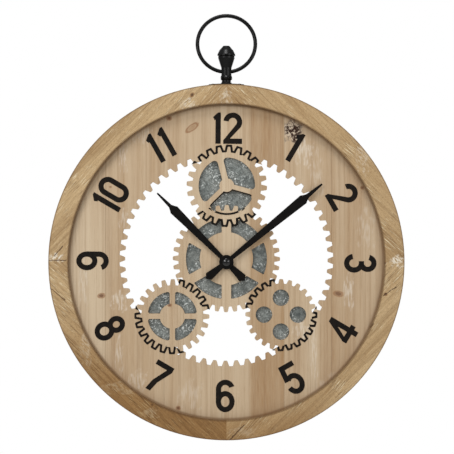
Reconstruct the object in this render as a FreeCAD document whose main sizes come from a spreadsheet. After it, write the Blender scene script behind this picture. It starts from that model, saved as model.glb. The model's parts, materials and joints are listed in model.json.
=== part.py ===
import FreeCAD, Part

import math
import os

import Sketcher
from FreeCAD import Placement, Rotation, Vector

# A wooden wall clock with a cut-out face of gear shapes, a turned finial with a ring on top,
# and a quartz movement behind the middle gear. Millimetres and degrees.
# The front looks along -Y, +X is to the right and +Z is up. The wall is the plane y = 0, and the
# origin is the middle of the keyhole that the clock hangs by. Turns are clockwise from 12.

TABLE = [
    ("hang_radius", 285, "dial centre to keyhole"),
    # Rim
    ("rim_radius", 300, "outer radius of the wooden rim"),
    ("rim_inner_radius", 267, "inner radius of the rim's front lip"),
    ("rim_seat_radius", 276, "radius of the recess that holds the face"),
    ("rim_depth", 40, "rim, front to wall"),
    ("face_recess", 12, "rim's front to the face"),
    ("rim_quarter_turn", 90, "sweep of one rim piece"),
    ("dowel_radius", 4, "dowel across a rim joint"),
    ("dowel_length", 36, "dowel length"),
    ("dowel_circle_radius", 291, "dial centre to the dowels"),
    ("dowel_depth", 30, "wall to the dowels' middle"),
    # Face
    ("face_radius", 275.4, "outer radius of the face sheet"),
    ("face_thickness", 5, "thickness of the face sheet"),
    ("print_thickness", 0.3, "thickness of the print"),
    ("line_half_width", 1.6, "half the width of a printed outline"),
    ("window_line_width", 2, "printed line along one window of the top gear"),
    ("tooth_sunk_share", 0.03, "how far a tooth reaches into its disc, share of radius"),
    ("tooth_corner", 1.1, "corner cut off a wooden tooth's tip"),
    ("tooth_tip_share", 0.42, "wooden tooth at the tip, share of its pitch"),
    ("tooth_root_share", 0.7, "wooden tooth at the root, share of its pitch"),
    ("ring_rise", 4.2, "centre of the ring of inner teeth above the dial centre"),
    ("ring_teeth", 60, "inner teeth of the face's outer ring"),
    ("ring_root_radius", 180.8, "root radius of the inner teeth"),
    ("ring_tip_radius", 171.4, "tip radius of the inner teeth"),
    ("ring_turn", 0.5, "turn of the first inner tooth"),
    ("ring_tip_share", 0.36, "inner tooth at the tip, share of its pitch"),
    ("ring_root_share", 0.68, "inner tooth at the root, share of its pitch"),
    ("top_gear_side", 0.7, "top gear right of the dial centre"),
    ("top_gear_rise", 129, "top gear above the dial centre"),
    ("top_gear_teeth", 24, "teeth of the top gear"),
    ("top_gear_tip_radius", 68.1, "tip radius of the top gear"),
    ("top_gear_root_radius", 58.4, "root radius of the top gear"),
    ("top_gear_turn", 3.26, "turn of the top gear's first tooth"),
    ("top_window_radius", 47.8, "outer radius of the top gear's windows"),
    ("top_hub_radius", 12.5, "hub radius of the top gear"),
    ("top_spokes", 3, "spokes of the top gear"),
    ("top_spoke_width", 10.2, "spoke width of the top gear"),
    ("top_spoke_turn", -14.5, "turn of the top gear's first spoke"),
    ("top_window_corner", 6, "corner radius of the top gear's windows"),
    ("centre_gear_rise", 5.8, "middle gear above the dial centre"),
    ("centre_gear_teeth", 36, "teeth of the middle gear"),
    ("centre_gear_tip_radius", 90.7, "tip radius of the middle gear"),
    ("centre_gear_root_radius", 81.4, "root radius of the middle gear"),
    ("centre_gear_turn", 0.46, "turn of the middle gear's first tooth"),
    ("centre_window_radius", 68.5, "outer radius of the middle gear's windows"),
    ("centre_hub_radius", 45, "hub radius of the middle gear"),
    ("centre_spokes", 6, "spokes of the middle gear"),
    ("centre_spoke_width", 16, "spoke width of the middle gear"),
    ("centre_window_corner", 1.5, "corner radius of the middle gear's windows"),
    ("left_gear_side", 91.4, "left gear left of the dial centre"),
    ("left_gear_drop", 91.6, "left gear below the dial centre"),
    ("left_gear_teeth", 24, "teeth of the left gear"),
    ("left_gear_tip_radius", 62.7, "tip radius of the left gear"),
    ("left_gear_root_radius", 52.5, "root radius of the left gear"),
    ("left_gear_turn", 0.61, "turn of the left gear's first tooth"),
    ("left_window_radius", 41.9, "outer radius of the left gear's windows"),
    ("left_hub_radius", 21.3, "hub radius of the left gear"),
    ("left_spokes", 4, "spokes of the left gear"),
    ("left_spoke_width", 9, "spoke width of the left gear"),
    ("left_window_corner", 3.5, "corner radius of the left gear's windows"),
    ("right_gear_side", 92.2, "right gear right of the dial centre"),
    ("right_gear_drop", 89, "right gear below the dial centre"),
    ("right_gear_teeth", 24, "teeth of the right gear"),
    ("right_gear_tip_radius", 60.2, "tip radius of the right gear"),
    ("right_gear_root_radius", 52.5, "root radius of the right gear"),
    ("right_gear_turn", 0.49, "turn of the right gear's first tooth"),
    ("right_hole_radius", 14, "radius of the right gear's four holes"),
    ("right_hole_circle_radius", 28.7, "right gear's centre to its holes"),
    # Numerals
    ("numeral_circle_radius", 226.4, "dial centre to the middle of a numeral"),
    ("numeral_turn", 0.5, "turn of the ring of numerals"),
    ("numeral_height", 52.8, "height of a straight digit"),
    ("numeral_overshoot", 2, "extra height of a round digit"),
    ("numeral_width", 31.8, "width of a broad digit"),
    ("numeral_one_width", 13, "width of the digit one"),
    ("numeral_stroke", 8.8, "stroke width of a numeral"),
    ("numeral_gap", 4.4, "gap between two digits"),
    ("numeral_one_gap", 9, "gap between two ones"),
    # Metal behind the windows
    ("backing_thickness", 0.6, "sheet metal behind the windows"),
    ("top_backing_radius", 51.3, "metal behind the top gear"),
    ("centre_backing_radius", 71.3, "metal behind the middle gear"),
    ("left_backing_radius", 46, "metal behind the left gear"),
    ("right_backing_radius", 45.5, "metal behind the right gear"),
    ("small_screw_radius", 1.1, "shank radius of a backing screw"),
    ("small_screw_length", 3.6, "backing screw's reach into the wood"),
    ("small_head_radius", 2.4, "head radius of a backing screw"),
    ("small_head_height", 1.1, "head height of a backing screw"),
    ("top_screw_circle_radius", 30, "backing screws of the top gear"),
    ("centre_screw_circle_radius", 51.5, "backing screws of the middle gear"),
    ("left_screw_circle_radius", 31, "backing screws of the left gear"),
    ("right_screw_circle_radius", 31, "backing screws of the right gear"),
    ("right_screw_turn", 45, "turn of the right gear's first backing screw"),
    # Screws that hold the face
    ("face_screws", 8, "screws that hold the face in the rim"),
    ("face_screw_turn", 22.5, "turn of the first face screw"),
    ("face_screw_circle_radius", 271.6, "dial centre to the face screws"),
    ("face_screw_radius", 1.4, "shank radius of a face screw"),
    ("face_screw_length", 8, "face screw's reach into the lip"),
    ("face_head_radius", 3, "head radius of a face screw"),
    ("face_head_height", 1.6, "head height of a face screw"),
    # Keyhole hanger
    ("hanger_width", 52, "hanger plate, side to side"),
    ("hanger_height", 20, "hanger plate, top to bottom"),
    ("hanger_thickness", 1.5, "hanger plate"),
    ("keyhole_radius", 4.5, "round part of the keyhole"),
    ("keyhole_edge", 3, "metal below the keyhole"),
    ("keyslot_radius", 2.25, "narrow part of the keyhole"),
    ("keyslot_rise", 7, "top of the slot's middle line above the round part"),
    ("nail_room_depth", 9, "hollow in the wood behind the keyhole"),
    ("nail_room_margin", 1.2, "hollow round the keyhole"),
    ("hanger_screw_side", 19, "hanger screws left and right of the keyhole"),
    ("hanger_screw_radius", 1.6, "shank radius of a hanger screw"),
    ("hanger_screw_length", 15, "hanger screw's reach from the wall plane"),
    ("hanger_head_radius", 3.2, "head radius of a hanger screw"),
    # Finial
    ("mount_plate_turn", 11.4, "sweep of the curved plate under the finial"),
    ("mount_plate_depth", 22, "curved plate, front to back"),
    ("mount_plate_thickness", 1.8, "curved plate"),
    ("mount_screw_turn", 4.3, "plate screws either side of the finial"),
    ("mount_screw_radius", 1.6, "shank radius of a plate screw"),
    ("mount_screw_length", 14, "plate screw's reach into the rim"),
    ("mount_head_radius", 3.2, "head radius of a plate screw"),
    ("mount_head_height", 1.7, "head height of a plate screw"),
    ("finial_foot_radius", 9.5, "finial's foot"),
    ("finial_foot_height", 1.2, "height of the foot's edge"),
    ("finial_waist_radius", 7.85, "waist above the foot"),
    ("finial_waist_rise", 3.2, "start of the waist"),
    ("finial_bead_rise", 6.2, "start of the beads"),
    ("finial_bead_radius", 10.25, "bead radius"),
    ("finial_bead_height", 3.6, "height of one bead"),
    ("finial_groove_radius", 9.2, "groove between two beads"),
    ("finial_groove_height", 0.7, "height of a groove"),
    ("finial_neck_radius", 8.7, "neck with the ring's hole"),
    ("finial_neck_top_rise", 27.2, "top of the neck"),
    ("finial_shoulder_radius", 13.9, "shoulder of the cup"),
    ("finial_shoulder_rise", 43.6, "shoulder of the cup"),
    ("finial_step_rise", 47, "top of the shoulder"),
    ("finial_rim_radius", 15.2, "widest part"),
    ("finial_rim_low_rise", 48.2, "low edge of the widest part"),
    ("finial_rim_top_rise", 50.2, "top edge of the widest part"),
    ("finial_crown_radius", 11.8, "bend in the slope of the top"),
    ("finial_crown_rise", 57.2, "bend in the slope of the top"),
    ("finial_top_radius", 5.6, "flat top"),
    ("finial_height", 64.4, "finial, foot to top"),
    ("ring_hole_rise", 20.6, "hole for the ring above the foot"),
    ("ring_hole_radius", 3.65, "hole for the ring in its middle"),
    ("ring_hole_mouth_radius", 4.7, "hole for the ring at its mouths"),
    ("bolt_radius", 2.5, "bolt that holds the finial"),
    ("bolt_reach", 20, "bolt's reach into the rim"),
    ("bolt_rise", 13, "bolt's reach into the finial"),
    ("bow_radius", 49.2, "ring's middle line"),
    ("bow_wire_radius", 3.25, "ring's bar"),
    ("bow_lean", 9, "ring's lean back towards the wall"),
    ("bow_rest_gap", 0.05, "ring's bar to the bottom of its hole"),
    # Hands
    ("hand_thickness", 0.6, "sheet metal of the hands"),
    ("hour_hand_turn", -45.1, "hour hand's place at rest"),
    ("minute_hand_turn", 50.8, "minute hand's place at rest"),
    ("hour_tip_reach", 165, "hour hand's tip"),
    ("hour_neck_reach", 134, "start of the hour hand's point"),
    ("hour_step_reach", 128.5, "middle of the hour hand's shoulder"),
    ("hour_shoulder_reach", 125, "widest part of the hour hand"),
    ("hour_tip_half_width", 1.4, "hour hand at its tip"),
    ("hour_neck_half_width", 3.1, "hour hand at the start of its point"),
    ("hour_step_half_width", 5.8, "hour hand in its shoulder"),
    ("hour_shoulder_half_width", 8.1, "hour hand's widest half"),
    ("hour_boss_radius", 11, "disc round the hour pipe"),
    ("minute_tip_reach", 208.5, "minute hand's tip"),
    ("minute_neck_reach", 176.5, "start of the minute hand's point"),
    ("minute_step_reach", 171.5, "middle of the minute hand's shoulder"),
    ("minute_shoulder_reach", 167.6, "widest part of the minute hand"),
    ("minute_tip_half_width", 1.6, "minute hand at its tip"),
    ("minute_neck_half_width", 3.8, "minute hand at the start of its point"),
    ("minute_step_half_width", 6, "minute hand in its shoulder"),
    ("minute_shoulder_half_width", 8.4, "minute hand's widest half"),
    ("minute_boss_radius", 12.2, "disc round the minute pipe"),
    ("hand_hub_half_width", 3.3, "both hands beside their discs"),
    ("tail_reach", 38.3, "widest part of both tails"),
    ("tail_half_width", 7.4, "both tails at their widest"),
    ("tail_tip_reach", 44.5, "point of both tails"),
    ("cap_radius", 6.6, "cap over the shafts"),
    ("cap_edge_height", 1.4, "cap's upright edge"),
    ("cap_shoulder_share", 0.72, "cap's shoulder, share of its radius"),
    ("cap_crown_height", 3.9, "cap, foot to crown"),
    ("cap_room", 0.6, "hollow over the shafts' ends"),
    # Shafts and stack through the face
    ("bush_radius", 4, "threaded bush of the movement"),
    ("bush_bore_radius", 2.7, "bore of the bush"),
    ("bush_stand_out", 0.6, "bush past its nut"),
    ("face_hole_gap", 0.2, "bush to the wood round it"),
    ("washer_radius", 8, "washer under the nut"),
    ("washer_thickness", 0.6, "washer under the nut"),
    ("nut_width", 12, "nut across flats"),
    ("nut_thickness", 2.2, "nut"),
    ("rubber_radius", 15, "rubber washer"),
    ("rubber_thickness", 1, "rubber washer"),
    ("hour_pipe_radius", 2.5, "hour pipe"),
    ("hour_pipe_bore_radius", 1.75, "bore of the hour pipe"),
    ("hour_pipe_stand_out", 0.4, "hour pipe past the hour hand"),
    ("minute_pipe_radius", 1.6, "minute pipe"),
    ("minute_pipe_bore_radius", 0.85, "bore of the minute pipe"),
    ("minute_pipe_stand_out", 1.2, "minute pipe past the minute hand"),
    ("hand_bush_gap", 0.6, "hour hand to the bush"),
    ("hand_pipe_gap", 0.8, "minute hand to the hour pipe"),
    ("seconds_arbor_radius", 0.6, "seconds arbor"),
    # Movement
    ("case_half_width", 28, "movement case, half its side"),
    ("case_corner", 3, "movement case, corner radius"),
    ("case_wall", 1.2, "movement case wall"),
    ("case_floor", 1.4, "movement case floor"),
    ("case_depth", 16, "movement case, front to back"),
    ("cover_thickness", 1.4, "movement cover"),
    ("divider_drop", 10.5, "top of the wall over the battery, below the shaft"),
    ("divider_thickness", 0.8, "wall over the battery"),
    ("divider_end_gap", 0.9, "slot at each end of that wall"),
    ("layer_first_gap", 0.3, "case floor to the first wheel"),
    ("layer_pitch", 1.5, "one wheel layer to the next"),
    ("wheel_thickness", 0.9, "wheels and pinions"),
    ("pivot_gap", 0.06, "pivots in their holes"),
    ("arbor_radius", 0.5, "arbors"),
    ("pivot_depth", 0.8, "depth of the pivot holes in the floor"),
    ("bridge_gap", 0.8, "last wheel to the bridge"),
    ("bridge_thickness", 1, "bridge plate"),
    ("bridge_half_width", 25.2, "bridge plate, half its width"),
    ("bridge_top", 16.6, "bridge plate's top edge"),
    ("post_radius", 1.5, "posts under the bridge"),
    ("post_side", 23.6, "posts left and right of the shaft"),
    ("post_rise", 7, "upper posts above the shaft"),
    ("post_drop", 8, "lower posts below the shaft"),
    ("train_module", 0.3, "tooth size of the train"),
    ("wheel_addendum_share", 0.8, "tooth above the pitch circle, share of the module"),
    ("wheel_dedendum_share", 1.15, "tooth below the pitch circle, share of the module"),
    ("wheel_tip_share", 0.2, "wheel tooth at the tip, share of its pitch"),
    ("wheel_root_share", 0.52, "wheel tooth at the root, share of its pitch"),
    ("cannon_teeth", 16, "pinion on the minute pipe"),
    ("minute_wheel_teeth", 48, "minute wheel"),
    ("minute_pinion_teeth", 12, "pinion of the minute wheel"),
    ("hour_wheel_teeth", 48, "hour wheel"),
    ("knob_pinion_teeth", 16, "pinion of the setting knob"),
    ("centre_wheel_teeth", 64, "centre wheel"),
    ("third_pinion_teeth", 8, "pinion of the third wheel"),
    ("third_wheel_teeth", 60, "third wheel"),
    ("seconds_pinion_teeth", 8, "pinion of the seconds wheel"),
    ("seconds_wheel_teeth", 60, "seconds wheel"),
    ("fifth_pinion_teeth", 10, "pinion of the fifth wheel"),
    ("fifth_wheel_teeth", 40, "fifth wheel"),
    ("rotor_pinion_teeth", 8, "pinion of the rotor"),
    ("fifth_module", 0.31, "tooth size of the seconds wheel"),
    ("minute_wheel_turn", 270, "direction from the shaft to the minute wheel"),
    ("knob_turn", 270, "direction from the minute wheel to the knob"),
    ("third_wheel_turn", 60, "direction from the shaft to the third wheel"),
    ("fifth_wheel_turn", 330, "direction from the shaft to the fifth wheel"),
    ("rotor_turn", 325, "direction from the fifth wheel to the rotor"),
    ("stud_radius", 0.6, "stud of the minute wheel"),
    ("knob_radius", 5.4, "setting knob"),
    ("knob_height", 2.6, "setting knob"),
    ("knob_gap", 0.3, "cover to the setting knob"),
    ("knob_shaft_radius", 1, "shaft of the setting knob"),
    ("knob_notches", 12, "grip notches of the setting knob"),
    ("knob_notch_radius", 0.7, "grip notch"),
    ("rotor_magnet_radius", 2.4, "rotor magnet"),
    ("rotor_magnet_length", 1.5, "rotor magnet"),
    ("stator_bore_radius", 3, "hole in the stator"),
    ("stator_half_height", 3.4, "stator bar, half its height"),
    ("stator_half_width", 10, "stator, half its width"),
    ("stator_arm_width", 3.4, "stator arms beside the coil"),
    ("stator_thickness", 0.9, "stator and coil core"),
    ("core_rise", 7.2, "rotor to the coil's middle line"),
    ("core_half_height", 1, "coil core, half its height"),
    ("coil_radius", 3.4, "coil"),
    ("coil_half_length", 6.2, "coil, half its length"),
    ("board_left", 8, "circuit board, left edge right of the shaft"),
    ("board_low", 18, "circuit board, low edge above the shaft"),
    ("board_thickness", 1, "circuit board"),
    ("board_gap", 2.6, "cover to the circuit board"),
    ("chip_radius", 3, "potted chip"),
    ("chip_height", 1.1, "potted chip"),
    ("crystal_radius", 1, "quartz crystal can"),
    ("crystal_length", 6, "quartz crystal can"),
    ("parts_pitch", 10, "chip to crystal on the board"),
    ("contact_thickness", 0.5, "battery contacts"),
    ("contact_half_width", 2.5, "battery contacts, half their width"),
    ("contact_reach", 14, "end of the top contact strip right of the shaft"),
    ("contact_tip_radius", 3, "part of a contact that meets the battery"),
    ("battery_radius", 7.25, "battery"),
    ("battery_length", 50.5, "battery, ends and nub included"),
    ("battery_nub_radius", 2.7, "battery's nub"),
    ("battery_nub_length", 1, "battery's nub"),
    ("battery_gap", 0.15, "battery to the case"),
]


class Size:
    """A number together with the sheet formula that gives it."""

    def __init__(self, value, formula):
        self.value = float(value)
        self.formula = formula

    def __add__(self, other):
        other = as_size(other)
        return Size(self.value + other.value, f"({self.formula} + {other.formula})")

    def __sub__(self, other):
        other = as_size(other)
        return Size(self.value - other.value, f"({self.formula} - {other.formula})")

    def __mul__(self, other):
        other = as_size(other)
        return Size(self.value * other.value, f"({self.formula} * {other.formula})")

    def __truediv__(self, other):
        other = as_size(other)
        return Size(self.value / other.value, f"({self.formula} / {other.formula})")

    def __radd__(self, other):
        return as_size(other) + self

    def __rsub__(self, other):
        return as_size(other) - self

    def __rmul__(self, other):
        return as_size(other) * self

    def __rtruediv__(self, other):
        return as_size(other) / self

    def __neg__(self):
        return Size(-self.value, f"(0 - {self.formula})")


def as_size(number):
    return number if isinstance(number, Size) else Size(number, repr(number))


def sine(turn):
    turn = as_size(turn)
    return Size(math.sin(math.radians(turn.value)), f"sin({turn.formula})")


def cosine(turn):
    turn = as_size(turn)
    return Size(math.cos(math.radians(turn.value)), f"cos({turn.formula})")


class Sheet:
    """The sheet of driving sizes, read as attributes."""

    def __init__(self, table):
        self.cells = doc.addObject("Spreadsheet::Sheet", "Sizes")
        self.values = {}
        for row, (name, value, note) in enumerate(table, 1):
            self.cells.set(f"A{row}", note)
            self.cells.set(f"B{row}", str(value))
            self.cells.setAlias(f"B{row}", name)
            self.values[name] = value

    def __getattr__(self, name):
        return Size(self.values[name], "Sizes." + name)


doc = FreeCAD.newDocument("wooden_gear_clock")
S = Sheet(TABLE)
doc.recompute()


# Building blocks

def bind(item, **sizes):
    for name, size in sizes.items():
        item.setExpression(name, as_size(size).formula)


def put(item, x=0, y=0, z=0):
    """Gives an object its place, which follows the sheet."""
    for axis, size in (("x", x), ("y", y), ("z", z)):
        item.setExpression("Placement.Base." + axis, as_size(size).formula)
    return item


def hung(item, x=0, z=0, turn=None):
    """Places a finished piece, made about the dial centre, below the keyhole."""
    if turn is not None:
        turned = as_size(turn)
        item.Placement = Placement(Vector(), Rotation(Vector(0, 1, 0), turned.value))
        item.setExpression("Placement.Rotation.Angle", turned.formula)
    return put(item, x, 0, z - S.hang_radius)


def new_body(name):
    body = doc.addObject("PartDesign::Body", name)
    body.Label = name
    return body


def origin_part(body, role):
    return next(part for part in body.Origin.OriginFeatures if part.Role == role)


def new_sketch(body, role):
    sketch = body.newObject("Sketcher::SketchObject", body.Label + "_sketch")
    sketch.AttachmentSupport = [(origin_part(body, role), "")]
    sketch.MapMode = "FlatFace"
    return sketch


def front_sketch(body, back, turn=0):
    """A sketch seen from the front, right and up, that lies at the depth y = back."""
    sketch = new_sketch(body, "XZ_Plane")
    back, turn = as_size(back), as_size(turn)
    sketch.AttachmentOffset = Placement(
        Vector(0, 0, -back.value), Rotation(Vector(0, 0, 1), -turn.value)
    )
    sketch.setExpression("AttachmentOffset.Base.z", (-back).formula)
    if turn.value:
        sketch.setExpression("AttachmentOffset.Rotation.Angle", (-turn).formula)
    return sketch


def pin(sketch, element, point, x, y):
    """Holds a point of the sketch at x, y."""
    for kind, size in (("DistanceX", as_size(x)), ("DistanceY", as_size(y))):
        number = sketch.addConstraint(Sketcher.Constraint(kind, element, point, size.value))
        sketch.setExpression(f"Constraints[{number}]", size.formula)


def draw_outline(sketch, points):
    """Straight lines through the points, closed."""
    first = sketch.GeometryCount
    points = [(as_size(x), as_size(y)) for x, y in points]
    count = len(points)
    corners = [Vector(x.value, y.value, 0) for x, y in points]
    for k in range(count):
        sketch.addGeometry(Part.LineSegment(corners[k], corners[(k + 1) % count]), False)
    for k in range(count):
        following = first + (k + 1) % count
        sketch.addConstraint(Sketcher.Constraint("Coincident", first + k, 2, following, 1))
    for k, (x, y) in enumerate(points):
        pin(sketch, first + k, 1, x, y)
    return sketch


def draw_circle(sketch, radius, x=0, y=0):
    radius, x, y = as_size(radius), as_size(x), as_size(y)
    round_edge = Part.Circle(Vector(x.value, y.value, 0), Vector(0, 0, 1), radius.value)
    number = sketch.addGeometry(round_edge, False)
    constraint = sketch.addConstraint(Sketcher.Constraint("Radius", number, radius.value))
    sketch.setExpression(f"Constraints[{constraint}]", radius.formula)
    pin(sketch, number, 3, x, y)
    return sketch


def pad(body, sketch, thickness):
    """Thickens a sketch towards the front."""
    feature = body.newObject("PartDesign::Pad", body.Label + "_pad")
    feature.Profile = sketch
    bind(feature, Length=thickness)
    body.Tip = feature
    return feature


def pad_disc(body, radius, back, thickness, hole=None):
    sketch = front_sketch(body, back)
    draw_circle(sketch, radius)
    if hole is not None:
        draw_circle(sketch, hole)
    return pad(body, sketch, thickness)


def around(body, feature, count):
    """Repeats a feature evenly about the body's own front-to-back axis."""
    pattern = body.newObject("PartDesign::PolarPattern", body.Label + "_around")
    pattern.Originals = [feature]
    pattern.Axis = (origin_part(body, "Y_Axis"), [""])
    pattern.Angle = 360
    bind(pattern, Occurrences=count)
    body.Tip = pattern
    return pattern


def turn_profile(body, points, axis="Y_Axis"):
    """Turns an outline on the body's axis: (depth, radius) points, or (radius, rise) about Z."""
    sketch = new_sketch(body, "YZ_Plane" if axis == "Y_Axis" else "XZ_Plane")
    draw_outline(sketch, points)
    feature = body.newObject("PartDesign::Revolution", body.Label + "_turned")
    feature.Profile = sketch
    feature.ReferenceAxis = (origin_part(body, axis), [""])
    feature.Angle = 360
    body.Tip = feature
    return feature


def add_teeth(
    body, count, root, tip, root_share, tip_share, back, thickness, turn=0, corner=None, grow=0
):
    """Straight-flanked teeth about the body's axis, turned inwards where the tip lies inside the root."""
    inwards = tip.value < root.value
    pitch = 360 / count
    root_turn = pitch / 2 * root_share
    tip_turn = pitch / 2 * tip_share
    sign = -1 if inwards else 1
    root_x = root * sine(root_turn) + grow
    root_z = root * cosine(root_turn) + sign * grow
    tip_x = tip * sine(tip_turn) + grow
    tip_z = tip * cosine(tip_turn) + sign * grow
    sunk_z = root_z * (1 - sign * S.tooth_sunk_share)
    half = [(root_x, sunk_z), (root_x, root_z)]
    if corner is None:
        half += [(tip_x, tip_z)]
    else:
        half += [(tip_x, tip_z - sign * corner), (tip_x - corner, tip_z)]
    points = [(-x, z) for x, z in half] + half[::-1]
    sketch = draw_outline(front_sketch(body, back, turn), points)
    return around(body, pad(body, sketch, thickness), count)


def rod(name, radius, length, way, x=0, y=0, z=0):
    """A plain cylinder that starts at x, y, z and runs one way."""
    item = doc.addObject("Part::Cylinder", name)
    ways = {
        "front": Vector(0, -1, 0),
        "back": Vector(0, 1, 0),
        "up": Vector(0, 0, 1),
        "right": Vector(1, 0, 0),
    }
    item.Placement = Placement(Vector(), Rotation(Vector(0, 0, 1), ways[way]))
    bind(item, Radius=radius, Height=length)
    return put(item, x, y, z)


def block(name, left, right, front, back, low, high):
    item = doc.addObject("Part::Box", name)
    left, right, front, back, low, high = map(as_size, (left, right, front, back, low, high))
    bind(item, Length=right - left, Width=back - front, Height=high - low)
    return put(item, left, front, low)


def cut(name, base, tool):
    item = doc.addObject("Part::Cut", name)
    item.Base = base
    item.Tool = tool
    item.Label = name
    return item


def fuse(name, items):
    item = doc.addObject("Part::MultiFuse", name)
    item.Shapes = items
    item.Label = name
    return item


def common(name, base, tool):
    item = doc.addObject("Part::Common", name)
    item.Base = base
    item.Tool = tool
    item.Label = name
    return item


def together(name, items):
    item = doc.addObject("Part::Compound", name)
    item.Links = items
    item.Label = name
    return item


# Depths, front to back: a smaller y is nearer to the viewer
face_front = S.face_recess - S.rim_depth
face_back = face_front + S.face_thickness
backing_back = face_back + S.backing_thickness
case_front = backing_back + S.rubber_thickness
washer_front = face_front - S.washer_thickness
nut_front = washer_front - S.nut_thickness
bush_front = nut_front - S.bush_stand_out
hour_hand_back = bush_front - S.hand_bush_gap
hour_hand_front = hour_hand_back - S.hand_thickness
hour_pipe_front = hour_hand_front - S.hour_pipe_stand_out
minute_hand_back = hour_pipe_front - S.hand_pipe_gap
minute_hand_front = minute_hand_back - S.hand_thickness
minute_pipe_front = minute_hand_front - S.minute_pipe_stand_out
floor_back = case_front + S.case_floor
case_back = case_front + S.case_depth
cover_front = case_back - S.cover_thickness


def layer_back(number):
    """Back face of the wheels in one layer, counted from the front."""
    return floor_back + S.layer_first_gap + (number - 1) * S.layer_pitch + S.wheel_thickness


layer_count = 6
bridge_front = layer_back(layer_count) + S.bridge_gap
bridge_back = bridge_front + S.bridge_thickness


# Rim: four quarter arcs with a recess behind the lip
def rim_profile():
    return [
        (-S.rim_depth, S.rim_inner_radius),
        (-S.rim_depth, S.rim_radius),
        (0, S.rim_radius),
        (0, S.rim_seat_radius),
        (face_front, S.rim_seat_radius),
        (face_front, S.rim_inner_radius),
    ]


def rim_quarter(name, quarter):
    body = new_body(name + "_arc")
    sketch = draw_outline(new_sketch(body, "YZ_Plane"), rim_profile())
    feature = body.newObject("PartDesign::Revolution", name + "_sweep")
    feature.Profile = sketch
    feature.ReferenceAxis = (origin_part(body, "Y_Axis"), [""])
    bind(feature, Angle=S.rim_quarter_turn)
    body.Tip = feature
    body.Placement = Placement(Vector(), Rotation(Vector(0, 1, 0), quarter * S.rim_quarter_turn.value))
    if quarter:
        body.setExpression("Placement.Rotation.Angle", (quarter * S.rim_quarter_turn).formula)
    return body


# Screws of one size, each a shank and a head, with the head's underside on the given face
def wall_screws(name, places, face, shank_radius, reach, head_radius, head_height):
    """Screws driven from the back towards the front at (x, z) places."""
    items = []
    for k, (x, z) in enumerate(places):
        shank = rod(f"{name}_shank_{k}", shank_radius, reach, "front", x, face, z)
        head = rod(f"{name}_head_{k}", head_radius, head_height, "back", x, face, z)
        items.append(fuse(f"{name}_{k}", [shank, head]))
    return together(name, items)


def on_circle(count, radius, first, x=0, z=0):
    """Places on a circle, clockwise from the top."""
    steps = [first + k * (360 / count) for k in range(int(count.value))]
    return [(x + radius * sine(step), z + radius * cosine(step)) for step in steps]


# Face screws
face_screws = wall_screws(
    "panel_screws",
    on_circle(S.face_screws, S.face_screw_circle_radius, S.face_screw_turn),
    face_back,
    S.face_screw_radius,
    S.face_thickness + S.face_screw_length,
    S.face_head_radius,
    S.face_head_height,
)
hung(face_screws)

# Dowels across the rim joints
upright_dowels = [
    rod(
        "dowel_top",
        S.dowel_radius,
        S.dowel_length,
        "right",
        -S.dowel_length / 2,
        -S.dowel_depth,
        S.dowel_circle_radius,
    ),
    rod(
        "dowel_low",
        S.dowel_radius,
        S.dowel_length,
        "right",
        -S.dowel_length / 2,
        -S.dowel_depth,
        -S.dowel_circle_radius,
    ),
    rod(
        "dowel_right",
        S.dowel_radius,
        S.dowel_length,
        "up",
        S.dowel_circle_radius,
        -S.dowel_depth,
        -S.dowel_length / 2,
    ),
    rod(
        "dowel_left",
        S.dowel_radius,
        S.dowel_length,
        "up",
        -S.dowel_circle_radius,
        -S.dowel_depth,
        -S.dowel_length / 2,
    ),
]
joint_dowels = together("joint_dowels", upright_dowels)
hung(joint_dowels)

# Keyhole hanger, let in flush with the wall plane, made about the keyhole
hanger_low = -S.keyhole_radius - S.keyhole_edge
hanger_blank = block(
    "hanger_blank",
    -S.hanger_width / 2,
    S.hanger_width / 2,
    -S.hanger_thickness,
    0,
    hanger_low,
    hanger_low + S.hanger_height,
)
keyhole_round = rod("keyhole_round", S.keyhole_radius, S.hanger_thickness, "front")
keyslot_top = rod("keyslot_top", S.keyslot_radius, S.hanger_thickness, "front", 0, 0, S.keyslot_rise)
keyslot_run = block(
    "keyslot_run", -S.keyslot_radius, S.keyslot_radius, -S.hanger_thickness, 0, 0, S.keyslot_rise
)
hanger_screw_z = hanger_low + S.hanger_height / 2
hanger_cone_depth = S.hanger_thickness


def hanger_screw(name, side):
    """Countersunk screw whose flat head ends level with the plate."""
    cone = doc.addObject("Part::Cone", name + "_head")
    cone.Placement = Placement(Vector(), Rotation(Vector(0, 0, 1), Vector(0, -1, 0)))
    bind(cone, Radius1=S.hanger_head_radius, Radius2=S.hanger_screw_radius, Height=hanger_cone_depth)
    put(cone, side, 0, hanger_screw_z)
    shank_length = S.hanger_screw_length - hanger_cone_depth
    shank = rod(
        name + "_shank",
        S.hanger_screw_radius,
        shank_length,
        "front",
        side,
        -hanger_cone_depth,
        hanger_screw_z,
    )
    return fuse(name, [cone, shank])


hanger_screws = together(
    "hanger_screws",
    [
        hanger_screw("hanger_screw_left", -S.hanger_screw_side),
        hanger_screw("hanger_screw_right", S.hanger_screw_side),
    ],
)
keyhole_cutter = fuse("keyhole_cutter", [keyhole_round, keyslot_top, keyslot_run])
hanger_opened = cut("hanger_opened", hanger_blank, keyhole_cutter)
hanger_plate = cut("hanger_plate", hanger_opened, hanger_screws)
nail_room = block(
    "nail_room",
    -S.keyhole_radius - S.nail_room_margin,
    S.keyhole_radius + S.nail_room_margin,
    -S.nail_room_depth,
    -S.hanger_thickness,
    -S.keyhole_radius - S.nail_room_margin,
    S.keyslot_rise + S.keyslot_radius + S.nail_room_margin,
)
hanger_cutter = fuse("hanger_cutter", [hanger_blank, nail_room, hanger_screws])

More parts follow.
